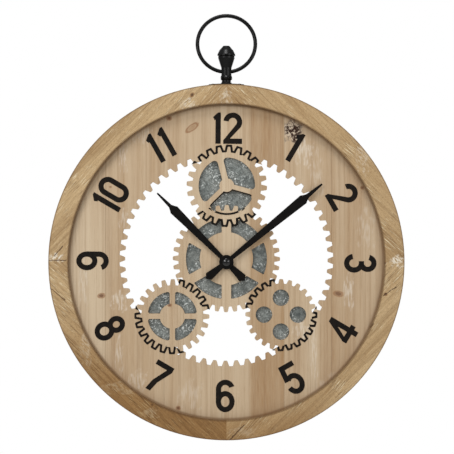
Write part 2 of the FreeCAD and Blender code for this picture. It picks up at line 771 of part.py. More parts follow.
# Curved plate under the finial, its two screws and the bolt, made about the dial centre
plate_arc = new_body("plate_arc")
plate_inner = S.rim_radius
plate_outer = S.rim_radius + S.mount_plate_thickness
plate_middle = -S.rim_depth / 2
plate_sketch = draw_outline(
    new_sketch(plate_arc, "YZ_Plane"),
    [
        (plate_middle - S.mount_plate_depth / 2, plate_inner),
        (plate_middle - S.mount_plate_depth / 2, plate_outer),
        (plate_middle + S.mount_plate_depth / 2, plate_outer),
        (plate_middle + S.mount_plate_depth / 2, plate_inner),
    ],
)
plate_sweep = plate_arc.newObject("PartDesign::Revolution", "plate_sweep")
plate_sweep.Profile = plate_sketch
plate_sweep.ReferenceAxis = (origin_part(plate_arc, "Y_Axis"), [""])
bind(plate_sweep, Angle=S.mount_plate_turn)
plate_arc.Tip = plate_sweep
plate_arc.Placement = Placement(Vector(), Rotation(Vector(0, 1, 0), -S.mount_plate_turn.value / 2))
plate_arc.setExpression("Placement.Rotation.Angle", (-S.mount_plate_turn / 2).formula)


def plate_screw(name, turn):
    """Round-headed screw that points at the dial centre."""
    body = new_body(name)
    dome = plate_outer + S.mount_head_height
    turn_profile(
        body,
        [
            (0, plate_outer - S.mount_screw_length),
            (S.mount_screw_radius, plate_outer - S.mount_screw_length),
            (S.mount_screw_radius, plate_outer),
            (S.mount_head_radius, plate_outer),
            (S.mount_head_radius * cosine(45), plate_outer + S.mount_head_height * sine(45)),
            (0, dome),
        ],
        "Z_Axis",
    )
    body.Placement = Placement(Vector(0, plate_middle.value, 0), Rotation(Vector(0, 1, 0), turn.value))
    body.setExpression("Placement.Rotation.Angle", turn.formula)
    return put(body, 0, plate_middle, 0)


base_plate_screws = together(
    "base_plate_screws", [
        plate_screw("plate_screw_left", -S.mount_screw_turn),
        plate_screw("plate_screw_right", S.mount_screw_turn),
    ]
)
foot_rise = plate_outer
finial_bolt = rod(
    "finial_bolt",
    S.bolt_radius,
    S.bolt_reach + S.mount_plate_thickness + S.bolt_rise,
    "up",
    0,
    plate_middle,
    S.rim_radius - S.bolt_reach,
)
finial_bolt.Label = "finial_bolt"
plate_cutter = fuse("plate_cutter", [base_plate_screws, finial_bolt])
finial_base_plate = cut("finial_base_plate", plate_arc, plate_cutter)

# Rim pieces with all their holes
hanger_cutter_placed = together("hanger_cutter_placed", [hanger_cutter])
put(hanger_cutter_placed, 0, 0, S.hang_radius)
rim_dowel_cutter = together("rim_dowel_cutter", upright_dowels)
rim_screw_cutter = together("rim_screw_cutter", list(face_screws.Links))
rim_cutter = fuse(
    "rim_cutter",
    [rim_dowel_cutter, rim_screw_cutter, hanger_cutter_placed, base_plate_screws, finial_bolt],
)
rim_names = ["rim_top_right", "rim_bottom_right", "rim_bottom_left", "rim_top_left"]
rim_pieces = [cut(name, rim_quarter(name, k), rim_cutter) for k, name in enumerate(rim_names)]
for piece in rim_pieces:
    hung(piece)

# Finial: one turned piece with a cross hole that widens to its mouths
finial_blank = new_body("finial_blank")
bead_top = S.finial_bead_rise + S.finial_bead_height
bead_middle = bead_top + S.finial_groove_height
bead_high = bead_middle + S.finial_bead_height
turn_profile(
    finial_blank,
    [
        (0, 0),
        (S.finial_foot_radius, 0),
        (S.finial_foot_radius, S.finial_foot_height),
        (S.finial_waist_radius, S.finial_waist_rise),
        (S.finial_waist_radius, S.finial_bead_rise),
        (S.finial_groove_radius, S.finial_bead_rise + S.finial_groove_height),
        (S.finial_bead_radius, bead_top - S.finial_groove_height),
        (S.finial_groove_radius, bead_top),
        (S.finial_groove_radius, bead_middle),
        (S.finial_bead_radius, bead_middle + S.finial_groove_height),
        (S.finial_groove_radius, bead_high - S.finial_groove_height),
        (S.finial_neck_radius, bead_high),
        (S.finial_neck_radius, S.finial_neck_top_rise),
        (S.finial_shoulder_radius, S.finial_shoulder_rise),
        (S.finial_shoulder_radius, S.finial_step_rise - S.finial_groove_height),
        (S.finial_shoulder_radius - S.finial_groove_height, S.finial_step_rise),
        (S.finial_rim_radius, S.finial_rim_low_rise),
        (S.finial_rim_radius, S.finial_rim_top_rise),
        (S.finial_crown_radius, S.finial_crown_rise),
        (S.finial_top_radius, S.finial_height),
        (0, S.finial_height),
    ],
    "Z_Axis",
)


def ring_hole_half(name, way):
    cone = doc.addObject("Part::Cone", name)
    cone.Placement = Placement(Vector(), Rotation(Vector(0, 0, 1), Vector(way, 0, 0)))
    bind(
        cone, Radius1=S.ring_hole_radius, Radius2=S.ring_hole_mouth_radius, Height=S.finial_neck_radius
    )
    return put(cone, 0, 0, S.ring_hole_rise)


bolt_hole = rod("bolt_hole", S.bolt_radius, S.bolt_rise, "up")
finial_cutter = fuse(
    "finial_cutter",
    [ring_hole_half("ring_hole_left", -1), ring_hole_half("ring_hole_right", 1), bolt_hole],
)
finial = cut("finial", finial_blank, finial_cutter)
put(finial, 0, plate_middle, foot_rise - S.hang_radius)
hung(finial_base_plate)
base_screws_out = together("base_screws_out", [base_plate_screws])
finial_bolt_out = together("finial_bolt_out", [finial_bolt])
hung(base_screws_out)
hung(finial_bolt_out)

# Ring through the finial: it rests in its hole and leans back against the wall
bow_rise = S.ring_hole_rise - S.ring_hole_radius + S.bow_wire_radius + S.bow_rest_gap
bow_ring = doc.addObject("Part::Torus", "bow_ring")
bow_ring.Placement = Placement(Vector(), Rotation(Vector(1, 0, 0), 90 - S.bow_lean.value))
bow_ring.setExpression("Placement.Rotation.Angle", (90 - S.bow_lean).formula)
bind(bow_ring, Radius1=S.bow_radius, Radius2=S.bow_wire_radius)
put(
    bow_ring,
    0,
    plate_middle + S.bow_radius * sine(S.bow_lean),
    foot_rise + bow_rise + S.bow_radius * cosine(S.bow_lean) - S.hang_radius,
)


# Wooden gears of the face. Each is made about its own centre
def add_spokes(body, gear, back, thickness):
    """The hub and the spokes, which run a little past the windows."""
    pad_disc(body, gear["hub"], back, thickness)
    half = gear["spoke_width"] / 2
    spoke = draw_outline(
        front_sketch(body, back, gear["spoke_turn"]),
        [(-half, 0), (-half, gear["spoke_end"]), (half, gear["spoke_end"]), (half, 0)],
    )
    around(body, pad(body, spoke, thickness), gear["spokes"])


def windowed_disc(name, gear, back, thickness):
    """Hub, spokes and rim with rounded outer window corners, without teeth."""
    body = new_body(name)
    add_spokes(body, gear, back, thickness)
    pad_disc(body, gear["root"], back, thickness, gear["window"])
    doc.recompute()
    corners = window_corners(body, gear)
    plain_gear = body.Tip
    fillet = body.newObject("PartDesign::Fillet", name + "_corners")
    fillet.Base = (plain_gear, corners)
    bind(fillet, Radius=gear["corner"])
    body.Tip = fillet
    return body


def spoked_gear(name, gear, back, thickness):
    body = windowed_disc(name, gear, back, thickness)
    add_gear_teeth(body, gear, back, thickness)
    return body


def window_corners(body, gear):
    """Edges where a spoke meets the rim."""
    half = gear["spoke_width"].value / 2
    wanted = gear["window"].value
    names = []
    for k, edge in enumerate(body.Shape.Edges, 1):
        ends = [vertex.Point for vertex in edge.Vertexes]
        if len(ends) != 2 or math.hypot(ends[0].x - ends[1].x, ends[0].z - ends[1].z) > 0.01 * half:
            continue
        radius = math.hypot(ends[0].x, ends[0].z)
        if abs(radius - wanted) < 0.01 * half:
            names.append(f"Edge{k}")
    return names


def add_gear_teeth(body, gear, back, thickness, grow=0):
    return add_teeth(
        body,
        gear["teeth"],
        gear["root"],
        gear["tip"],
        S.tooth_root_share,
        S.tooth_tip_share,
        back,
        thickness,
        gear["turn"],
        S.tooth_corner,
        grow,
    )


def gear_blank(name, gear, back, thickness, grow=0):
    """The gear's outline without windows, made larger or smaller all round by grow."""
    body = new_body(name)
    pad_disc(body, gear["root"] + grow, back, thickness)
    add_gear_teeth(body, gear, back, thickness, grow)
    return put(body, gear["x"], 0, gear["z"])


top = {
    "x": S.top_gear_side,
    "z": S.top_gear_rise,
    "teeth": S.top_gear_teeth,
    "tip": S.top_gear_tip_radius,
    "root": S.top_gear_root_radius,
    "turn": S.top_gear_turn,
    "window": S.top_window_radius,
    "hub": S.top_hub_radius,
    "spokes": S.top_spokes,
    "spoke_width": S.top_spoke_width,
    "spoke_turn": S.top_spoke_turn,
    "spoke_end": (S.top_window_radius + S.top_gear_root_radius) / 2,
    "corner": S.top_window_corner,
}
centre = {
    "x": as_size(0),
    "z": S.centre_gear_rise,
    "teeth": S.centre_gear_teeth,
    "tip": S.centre_gear_tip_radius,
    "root": S.centre_gear_root_radius,
    "turn": S.centre_gear_turn,
    "window": S.centre_window_radius,
    "hub": S.centre_hub_radius,
    "spokes": S.centre_spokes,
    "spoke_width": S.centre_spoke_width,
    "spoke_turn": as_size(0),
    "spoke_end": (S.centre_window_radius + S.centre_gear_root_radius) / 2,
    "corner": S.centre_window_corner,
}
left = {
    "x": -S.left_gear_side,
    "z": -S.left_gear_drop,
    "teeth": S.left_gear_teeth,
    "tip": S.left_gear_tip_radius,
    "root": S.left_gear_root_radius,
    "turn": S.left_gear_turn,
    "window": S.left_window_radius,
    "hub": S.left_hub_radius,
    "spokes": S.left_spokes,
    "spoke_width": S.left_spoke_width,
    "spoke_turn": as_size(0),
    "spoke_end": (S.left_window_radius + S.left_gear_root_radius) / 2,
    "corner": S.left_window_corner,
}
right = {
    "x": S.right_gear_side,
    "z": -S.right_gear_drop,
    "teeth": S.right_gear_teeth,
    "tip": S.right_gear_tip_radius,
    "root": S.right_gear_root_radius,
    "turn": S.right_gear_turn,
}


def ring_blank(name, back, thickness):
    """The face's outer ring with its inner teeth."""
    body = new_body(name)
    sketch = front_sketch(body, back)
    draw_circle(sketch, S.face_radius, 0, -S.ring_rise)
    draw_circle(sketch, S.ring_root_radius)
    pad(body, sketch, thickness)
    add_teeth(
        body,
        S.ring_teeth,
        S.ring_root_radius,
        S.ring_tip_radius,
        S.ring_root_share,
        S.ring_tip_share,
        back,
        thickness,
        S.ring_turn,
        S.tooth_corner,
    )
    return put(body, 0, 0, S.ring_rise)


def crossing(name, base, outer, inner, rise, back, thickness):
    """A row of teeth, and the sheet left whole between them where a small gear's teeth cross it."""
    row = new_body(name + "_row")
    pad_disc(row, outer, back, thickness, inner)
    put(row, 0, 0, rise)
    bands = []
    for label, gear in (("top", top), ("left", left), ("right", right)):
        band = new_body(f"{name}_{label}_band")
        pad_disc(band, gear["tip"] + S.line_half_width, back, thickness, gear["root"])
        bands.append(put(band, gear["x"], 0, gear["z"]))
    return fuse(name, [base, common(name + "_whole", row, together(name + "_bands", bands))])


def ring_field(name, back, thickness):
    return crossing(
        name,
        ring_blank(name + "_teeth", back, thickness),
        S.ring_root_radius * (1 + S.tooth_sunk_share),
        S.ring_tip_radius,
        S.ring_rise,
        back,
        thickness,
    )


def centre_field(name, base, back, thickness):
    return crossing(
        name,
        base,
        S.centre_gear_tip_radius,
        S.centre_gear_root_radius * (1 - S.tooth_sunk_share),
        S.centre_gear_rise,
        back,
        thickness,
    )


def screw_set(name, gear, count, circle, first):
    return wall_screws(
        name,
        on_circle(count, circle, first, gear["x"], gear["z"]),
        backing_back,
        S.small_screw_radius,
        S.backing_thickness + S.small_screw_length,
        S.small_head_radius,
        S.small_head_height,
    )


top_screws = screw_set("top_screws", top, S.top_spokes, S.top_screw_circle_radius, S.top_spoke_turn)
centre_screws = screw_set(
    "centre_screws", centre, S.centre_spokes, S.centre_screw_circle_radius, as_size(0)
)
left_screws = screw_set("left_screws", left, S.left_spokes, S.left_screw_circle_radius, as_size(0))
right_screws = screw_set(
    "right_screws", right, S.left_spokes, S.right_screw_circle_radius, S.right_screw_turn
)
backing_screws = together("backing_screws", [top_screws, centre_screws, left_screws, right_screws])
hung(backing_screws)

top_blank = gear_blank("top_blank", top, face_back, S.face_thickness)
left_blank = gear_blank("left_blank", left, face_back, S.face_thickness)
right_blank = gear_blank("right_blank", right, face_back, S.face_thickness)
top_spoked = put(spoked_gear("top_spoked", top, face_back, S.face_thickness), top["x"], 0, top["z"])
left_spoked = put(
    spoked_gear("left_spoked", left, face_back, S.face_thickness), left["x"], 0, left["z"]
)
centre_spoked = put(
    spoked_gear("centre_spoked", centre, face_back, S.face_thickness), 0, 0, centre["z"]
)
right_holes = [
    rod(f"right_hole_{k}", S.right_hole_radius, S.face_thickness, "front", x, face_back, z)
    for k, (x, z) in enumerate(
        on_circle(S.left_spokes, S.right_hole_circle_radius, as_size(0), right["x"], right["z"])
    )
]
right_holed = cut("right_holed", right_blank, together("right_holes", right_holes))
shaft_hole = rod(
    "shaft_hole", S.bush_radius + S.face_hole_gap, S.face_thickness, "front", 0, face_back, 0
)

ring_cutter = fuse("ring_cutter", [top_blank, left_blank, right_blank, rim_screw_cutter])
dial_ring = cut("dial_ring", ring_field("dial_blank", face_back, S.face_thickness), ring_cutter)
centre_cutter = fuse("centre_cutter", [top_spoked, left_blank, right_blank, centre_screws, shaft_hole])
centre_blank = centre_field("centre_blank", centre_spoked, face_back, S.face_thickness)
centre_gear = cut("centre_gear", centre_blank, centre_cutter)
top_gear = cut("top_gear", top_spoked, top_screws)
left_gear = cut("left_gear", left_spoked, left_screws)
right_gear = cut("right_gear", right_holed, right_screws)
for piece in (dial_ring, centre_gear, top_gear, left_gear, right_gear):
    hung(piece)


# Metal discs behind the windows
def backing(name, gear, radius, screws, hole=None):
    disc = rod(name + "_disc", radius, S.backing_thickness, "front", gear["x"], backing_back, gear["z"])
    tools = [screws] if hole is None else [screws, hole]
    return hung(cut(name, disc, fuse(name + "_cutter", tools) if hole is not None else screws))


backing_hole = rod(
    "backing_hole", S.bush_radius + S.face_hole_gap, S.backing_thickness, "front", 0, backing_back, 0
)
top_backing = backing("top_backing", top, S.top_backing_radius, top_screws)
centre_backing = backing("centre_backing", centre, S.centre_backing_radius, centre_screws, backing_hole)
left_backing = backing("left_backing", left, S.left_backing_radius, left_screws)
right_backing = backing("right_backing", right, S.right_backing_radius, right_screws)


# Printed outlines: a band along each small gear where it lies on other wood
def outline_band(name, gear):
    outer = gear_blank(name + "_outer", gear, face_front, S.print_thickness, S.line_half_width)
    inner = gear_blank(name + "_inner", gear, face_front, S.print_thickness, -S.line_half_width)
    return cut(name + "_band", outer, inner)


window_line = new_body("window_line")
pad_disc(
    window_line,
    S.top_window_radius + S.line_half_width,
    face_front,
    S.print_thickness,
    S.top_window_radius - S.line_half_width,
)
put(window_line, top["x"], 0, top["z"])
print_ring = ring_field("print_ring", face_front, S.print_thickness)
print_centre = centre_field(
    "print_centre",
    gear_blank("print_centre_teeth", centre, face_front, S.print_thickness),
    face_front,
    S.print_thickness,
)
print_field = together("print_field", [print_ring, print_centre])
print_bands = together(
    "print_bands",
    [outline_band("top_line", top), outline_band("left_line", left), outline_band("right_line", right)],
)
tooth_lines = common("tooth_lines", print_bands, print_field)
arc_line = common("arc_line", window_line, print_centre)

# The top gear's lowest window also has a line along its hub, its two spokes and their corners
slim_top = dict(
    top,
    hub=top["hub"] - S.window_line_width,
    window=top["window"] + S.window_line_width,
    spoke_width=top["spoke_width"] - S.window_line_width * 2,
    corner=top["corner"] + S.window_line_width,
)
whole_print = windowed_disc("whole_print", top, face_front, S.print_thickness)
slim_print = windowed_disc("slim_print", slim_top, face_front, S.print_thickness)
for printed in (whole_print, slim_print):
    put(printed, top["x"], 0, top["z"])
lined_turn = top["spoke_turn"] + as_size(360) / S.top_spokes
lined_step = as_size(360) / S.top_spokes / 2
lined_window = new_body("lined_window")
lined_sketch = front_sketch(lined_window, face_front)
draw_outline(
    lined_sketch,
    [(0, 0)]
    + [
        (S.top_window_radius * sine(turn), S.top_window_radius * cosine(turn))
        for turn in (lined_turn, lined_turn + lined_step, lined_turn + lined_step * 2)
    ],
)
pad(lined_window, lined_sketch, S.print_thickness)
put(lined_window, top["x"], 0, top["z"])
window_edges = cut("window_edges", whole_print, slim_print)
spoke_line = common("spoke_line", window_edges, lined_window)
gear_outlines = together("gear_outlines", [tooth_lines, arc_line, spoke_line])
hung(gear_outlines)


# Numerals: flat faces from bars, polygons and curved bands, thickened together
ROUND_DIGITS = "035689"
UPPER_BOWL_SHARE = 0.47


def flat_polygon(*points):
    return Part.Face(Part.makePolygon([Vector(x, 0, z) for x, z in points + points[:1]]))


def curved_band(x, z, outer_x, outer_z, stroke, start=0, end=360):
    """Part of an oval band, with its angles counted anticlockwise from the right."""
    ring = oval_face(x, z, outer_x, outer_z).cut(oval_face(x, z, outer_x - stroke, outer_z - stroke))
    if end - start >= 360:
        return ring
    reach = 2 * max(outer_x, outer_z)
    steps = 8
    angles = [math.radians(start + (end - start) * k / steps) for k in range(steps + 1)]
    wedge = flat_polygon((x, z), *[(x + reach * math.cos(a), z + reach * math.sin(a)) for a in angles])
    return ring.common(wedge)


def oval_face(x, z, half_x, half_z):
    if abs(half_x - half_z) < 0.001 * half_x:
        edge = Part.makeCircle(half_x, Vector(x, 0, z), Vector(0, -1, 0))
    else:
        long, short = max(half_x, half_z), min(half_x, half_z)
        curve = Part.Ellipse(Vector(0, 0, 0), long, short)
        edge = curve.toShape()
        turn = Rotation(Vector(1, 0, 0), 90)
        if half_z > half_x:
            turn = Rotation(Vector(0, 1, 0), 90).multiply(turn)
        edge.Placement = Placement(Vector(x, 0, z), turn)
    return Part.Face(Part.Wire(edge))


def digit_face(digit, half_width, half_height, stroke):
    """The bars, polygons and bands of one digit about its own middle, drawn right and up."""
    w, h, s = half_width, half_height, stroke
    upper_half = (h + s / 2) * UPPER_BOWL_SHARE
    lower_half = h + s / 2 - upper_half
    if digit == "0":
        outside = flat_polygon((-w, w - h), (-w, h - w), (w, h - w), (w, w - h))
        inside = flat_polygon((s - w, w - h), (s - w, h - w), (w - s, h - w), (w - s, w - h))
        return [
            outside.cut(inside),
            curved_band(0, h - w, w, w, s, 0, 180),
            curved_band(0, w - h, w, w, s, 180, 360),
        ]
    if digit == "1":
        stem = w - s
        flag = flat_polygon(
            (stem + s / 2, h), (-w, h - 0.85 * s), (s * 0.3 - w, h - 1.5 * s), (stem + s / 2, h - s)
        )
        upright = flat_polygon((stem, -h), (stem, h - s / 2), (stem + s / 2, h), (w, h), (w, -h))
        return [flag, upright]
    if digit == "2":
        middle = h - w
        low = math.radians(-33)
        outer = (w * math.cos(low), middle + w * math.sin(low))
        inner = ((w - s) * math.cos(low), middle + (w - s) * math.sin(low))
        slope = flat_polygon(inner, outer, (-w * 0.3, s - h), (-w * 0.85, s - h))
        base = flat_polygon((-w, -h), (-w, s * 0.7 - h), (-w * 0.85, s - h), (w, s - h), (w, -h))
        return [curved_band(0, middle, w, w, s, -33, 172), slope, base]
    if digit == "3":
        waist = h - 2 * upper_half
        tongue = flat_polygon((-w * 0.22, waist), (-w * 0.22, waist + s), (0, waist + s), (0, waist))
        upper = curved_band(0, h - upper_half, w * 0.92, upper_half, s, -90, 165)
        return [upper, curved_band(0, lower_half - h, w, lower_half, s, -168, 90), tongue]
    if digit == "4":
        bar_low = -h * 0.68
        bar = flat_polygon((-w, bar_low), (-w, bar_low + s), (w, bar_low + s), (w, bar_low))
        stem = w * 0.66 - s
        upright = flat_polygon((stem, -h), (stem, h), (stem + s, h), (stem + s, -h))
        slope = flat_polygon(
            (-w, bar_low + s * 0.8),
            (stem, h),
            (stem + s / 2, h),
            (stem, h * 0.34),
            (-w * 0.5, bar_low + s),
        )
        return [bar, upright, slope]
    if digit == "5":
        side = -w * 0.78
        bar = flat_polygon((side, h - s), (side, h), (w * 0.88, h), (w * 0.88, h - s))
        upright = flat_polygon(
            (side - w * 0.12, -h * 0.04), (side, h), (side + s, h), (side + s - w * 0.12, -h * 0.04)
        )
        bowl_half = h * 0.66
        return [bar, upright, curved_band(0, bowl_half - h, w, bowl_half, s, -168, 128)]
    if digit in "69":
        bowl_half = h * 0.65
        side = flat_polygon((-w, bowl_half - h), (-w, h - w), (s - w, h - w), (s - w, bowl_half - h))
        return [
            curved_band(0, bowl_half - h, w, bowl_half, s),
            side,
            curved_band(0, h - w, w, w, s, 19, 180),
        ]
    if digit == "7":
        bar = flat_polygon((-w, h - s), (-w, h), (w, h), (w, h - s))
        slope = flat_polygon(
            (w * 0.4, h - s),
            (-w * 0.42, -h * 0.32),
            (-w * 0.64, -h),
            (-w * 0.64 + s, -h),
            (w * 0.16, -h * 0.32),
            (w, h - s),
        )
        return [bar, slope]
    return [
        curved_band(0, h - upper_half, w * 0.89, upper_half, s),
        curved_band(0, lower_half - h, w, lower_half, s),
    ]


def numeral_shape(text):
    """One or two digits, centred, as thickened solids."""
    stroke, gap = S.numeral_stroke.value, S.numeral_gap.value
    if text == "11":
        gap = S.numeral_one_gap.value
    widths = [S.numeral_one_width.value if digit == "1" else S.numeral_width.value for digit in text]
    edge = -(sum(widths) + gap * (len(text) - 1)) / 2
    solids = []
    for digit, width in zip(text, widths):
        height = S.numeral_height.value + (S.numeral_overshoot.value if digit in ROUND_DIGITS else 0)
        faces = digit_face(digit, width / 2, height / 2, stroke)
        slabs = [face.extrude(Vector(0, -S.print_thickness.value, 0)) for face in faces]
        solid = slabs[0].multiFuse(slabs[1:]).removeSplitter()
        if digit == "9":
            solid.rotate(Vector(), Vector(0, 1, 0), 180)
        solid.translate(Vector(edge + width / 2, 0, 0))
        solids += solid.Solids
        edge += width + gap
    return solids


numeral_solids = []
for hour in range(1, 13):
    place_turn = 30 * hour + S.numeral_turn.value
    own_turn = place_turn if hour in (12, 1, 2, 3, 9, 10, 11) else place_turn - 180
    radius = S.numeral_circle_radius.value
    middle = Vector(
        radius * math.sin(math.radians(place_turn)),
        face_front.value,
        radius * math.cos(math.radians(place_turn)),
    )
    for solid in numeral_shape(str(hour)):
        moved = solid.copy()
        moved.Placement = Placement(
            middle, Rotation(Vector(0, 1, 0), own_turn)
        ).multiply(moved.Placement)
        numeral_solids.append(moved)
dial_numerals = doc.addObject("Part::Feature", "dial_numerals")
dial_numerals.Label = "dial_numerals"
dial_numerals.Shape = Part.makeCompound(numeral_solids)
hung(dial_numerals)


# Hands
def hand_outline(reach):
    """Points of a hand from its disc to the tip and back, then round its tail."""
    side = [
        (S.hand_hub_half_width, 0),
        (reach["shoulder_width"], reach["shoulder"]),
        (reach["step_width"], reach["step"]),
        (reach["neck_width"], reach["neck"]),
        (reach["tip_width"], reach["tip"]),
    ]
    ends = [
        (S.tail_half_width, -S.tail_reach), (0, -S.tail_tip_reach), (-S.tail_half_width, -S.tail_reach)
    ]
    return side + [(-x, z) for x, z in side[::-1]] + ends[::-1]


def hand(name, reach, boss, bore, back):
    body = new_body(name)
    pad_disc(body, boss, back, S.hand_thickness, bore)
    sketch = draw_outline(front_sketch(body, back), hand_outline(reach))
    draw_circle(sketch, bore)
    pad(body, sketch, S.hand_thickness)
    return body


hour_reach = {
    "tip": S.hour_tip_reach,
    "neck": S.hour_neck_reach,
    "step": S.hour_step_reach,
    "shoulder": S.hour_shoulder_reach,
    "tip_width": S.hour_tip_half_width,
    "neck_width": S.hour_neck_half_width,
    "step_width": S.hour_step_half_width,
    "shoulder_width": S.hour_shoulder_half_width,
}
minute_reach = {
    "tip": S.minute_tip_reach,
    "neck": S.minute_neck_reach,
    "step": S.minute_step_reach,
    "shoulder": S.minute_shoulder_reach,
    "tip_width": S.minute_tip_half_width,
    "neck_width": S.minute_neck_half_width,
    "step_width": S.minute_step_half_width,
    "shoulder_width": S.minute_shoulder_half_width,
}
hour_hand = hand("hour_hand", hour_reach, S.hour_boss_radius, S.hour_pipe_radius, hour_hand_back)
hung(hour_hand, turn=S.hour_hand_turn)
minute_hand = hand(
    "minute_hand", minute_reach, S.minute_boss_radius, S.minute_pipe_radius, minute_hand_back
)
hung(minute_hand, turn=S.minute_hand_turn)
hand_cap = new_body("hand_cap")
cap_crown = minute_hand_front - S.cap_crown_height
turn_profile(
    hand_cap,
    [
        (minute_hand_front, S.minute_pipe_radius),
        (minute_hand_front, S.cap_radius),
        (minute_hand_front - S.cap_edge_height, S.cap_radius),
        (cap_crown + S.cap_edge_height * S.cap_shoulder_share, S.cap_radius * S.cap_shoulder_share),
        (cap_crown, S.cap_radius * S.cap_shoulder_share / 2),
        (cap_crown, 0),
        (minute_pipe_front - S.cap_room, 0),
        (minute_pipe_front - S.cap_room, S.minute_pipe_radius),
    ],
)
hung(hand_cap)


# Movement: case, with wheels on arbors in six layers
def spot(distance, turn, x=0, z=0):
    return x + distance * sine(turn), z + distance * cosine(turn)


def pitch_radius(teeth, module):
    return teeth * module / 2


minute_distance = S.train_module * (S.cannon_teeth + S.minute_wheel_teeth) / 2
hour_module = 2 * minute_distance / (S.minute_pinion_teeth + S.hour_wheel_teeth)
third_distance = S.train_module * (S.centre_wheel_teeth + S.third_pinion_teeth) / 2
seconds_module = 2 * third_distance / (S.third_wheel_teeth + S.seconds_pinion_teeth)
fifth_distance = S.fifth_module * (S.seconds_wheel_teeth + S.fifth_pinion_teeth) / 2
rotor_distance = S.train_module * (S.fifth_wheel_teeth + S.rotor_pinion_teeth) / 2
knob_distance = S.train_module * (S.minute_wheel_teeth + S.knob_pinion_teeth) / 2
minute_spot = spot(minute_distance, S.minute_wheel_turn)
knob_spot = spot(knob_distance, S.knob_turn, *minute_spot)
third_spot = spot(third_distance, S.third_wheel_turn)
fifth_spot = spot(fifth_distance, S.fifth_wheel_turn)
rotor_spot = spot(rotor_distance, S.rotor_turn, *fifth_spot)


def meshing_turn(direction, turn, teeth, other_teeth):
    """Turn at which a second wheel's gap meets the first wheel's tooth, seen in one direction."""
    phase = (direction - turn) * teeth / 360
    return direction + 180 - (0.5 - phase) * 360 / other_teeth


def add_wheel(body, teeth, module, layer, turn=0, hole=None):
    """One toothed disc in a layer."""
    radius = pitch_radius(teeth, module)
    root = radius - module * S.wheel_dedendum_share
    tip = radius + module * S.wheel_addendum_share
    pad_disc(body, root, layer_back(layer), S.wheel_thickness, hole)
    add_teeth(
        body,
        teeth,
        root,
        tip,
        S.wheel_root_share,
        S.wheel_tip_share,
        layer_back(layer),
        S.wheel_thickness,
        turn,
    )


def add_tube(body, radius, back, length, bore=None):
    return pad_disc(body, radius, back, length, bore)


arbor_front = floor_back - S.pivot_depth + S.pivot_gap

# Hour wheel and its pipe
hour_wheel = new_body("hour_wheel")
pipe_back = layer_back(1)
add_tube(
    hour_wheel, S.hour_pipe_radius, pipe_back, pipe_back - hour_pipe_front, S.hour_pipe_bore_radius
)
minute_wheel_turn_at = meshing_turn(
    S.minute_wheel_turn, as_size(0), S.cannon_teeth, S.minute_wheel_teeth
)
minute_pinion_turn_at = as_size(0)
hour_wheel_turn_at = meshing_turn(
    S.minute_wheel_turn + 180, minute_pinion_turn_at, S.minute_pinion_teeth, S.hour_wheel_teeth
)
add_wheel(hour_wheel, S.hour_wheel_teeth, hour_module, 1, hour_wheel_turn_at, S.hour_pipe_bore_radius)
hung(hour_wheel)

# Centre wheel with the minute pipe and its pinion
centre_wheel = new_body("centre_wheel")
pipe_back = layer_back(3)
add_tube(
    centre_wheel,
    S.minute_pipe_radius,
    pipe_back,
    pipe_back - minute_pipe_front,
    S.minute_pipe_bore_radius,
)
add_wheel(centre_wheel, S.cannon_teeth, S.train_module, 2, as_size(0), S.minute_pipe_bore_radius)
add_wheel(centre_wheel, S.centre_wheel_teeth, S.train_module, 3, as_size(0), S.minute_pipe_bore_radius)
hung(centre_wheel)

# Minute wheel on its stud
minute_wheel = new_body("minute_wheel")
stud_bore = S.stud_radius + S.pivot_gap
pinion_root = pitch_radius(S.minute_pinion_teeth, hour_module) - hour_module * S.wheel_dedendum_share
pipe_back = layer_back(2)
add_tube(
    minute_wheel, pinion_root, pipe_back, pipe_back - (layer_back(1) - S.wheel_thickness), stud_bore
)
add_wheel(minute_wheel, S.minute_pinion_teeth, hour_module, 1, minute_pinion_turn_at, stud_bore)
add_wheel(minute_wheel, S.minute_wheel_teeth, S.train_module, 2, minute_wheel_turn_at, stud_bore)
hung(minute_wheel, *minute_spot)

# Third wheel
third_wheel = new_body("third_wheel")
add_tube(third_wheel, S.arbor_radius, bridge_back, bridge_back - arbor_front)
third_pinion_turn_at = meshing_turn(
    S.third_wheel_turn, as_size(0), S.centre_wheel_teeth, S.third_pinion_teeth
)
add_wheel(third_wheel, S.third_pinion_teeth, S.train_module, 3, third_pinion_turn_at)
add_wheel(third_wheel, S.third_wheel_teeth, seconds_module, 4, as_size(0))
hung(third_wheel, *third_spot)

# Seconds wheel, whose arbor runs through the minute pipe
seconds_wheel = new_body("seconds_wheel")
add_tube(seconds_wheel, S.seconds_arbor_radius, bridge_back, bridge_back - minute_pipe_front)
seconds_pinion_turn_at = meshing_turn(
    S.third_wheel_turn + 180, as_size(0), S.third_wheel_teeth, S.seconds_pinion_teeth
)
add_wheel(seconds_wheel, S.seconds_pinion_teeth, seconds_module, 4, seconds_pinion_turn_at)
add_wheel(seconds_wheel, S.seconds_wheel_teeth, S.fifth_module, 5, as_size(0))
hung(seconds_wheel)

# Fifth wheel
fifth_wheel = new_body("fifth_wheel")
add_tube(fifth_wheel, S.arbor_radius, bridge_back, bridge_back - arbor_front)
fifth_pinion_turn_at = meshing_turn(
    S.fifth_wheel_turn, as_size(0), S.seconds_wheel_teeth, S.fifth_pinion_teeth
)
add_wheel(fifth_wheel, S.fifth_pinion_teeth, S.fifth_module, 5, fifth_pinion_turn_at)
add_wheel(fifth_wheel, S.fifth_wheel_teeth, S.train_module, 6, as_size(0))
hung(fifth_wheel, *fifth_spot)

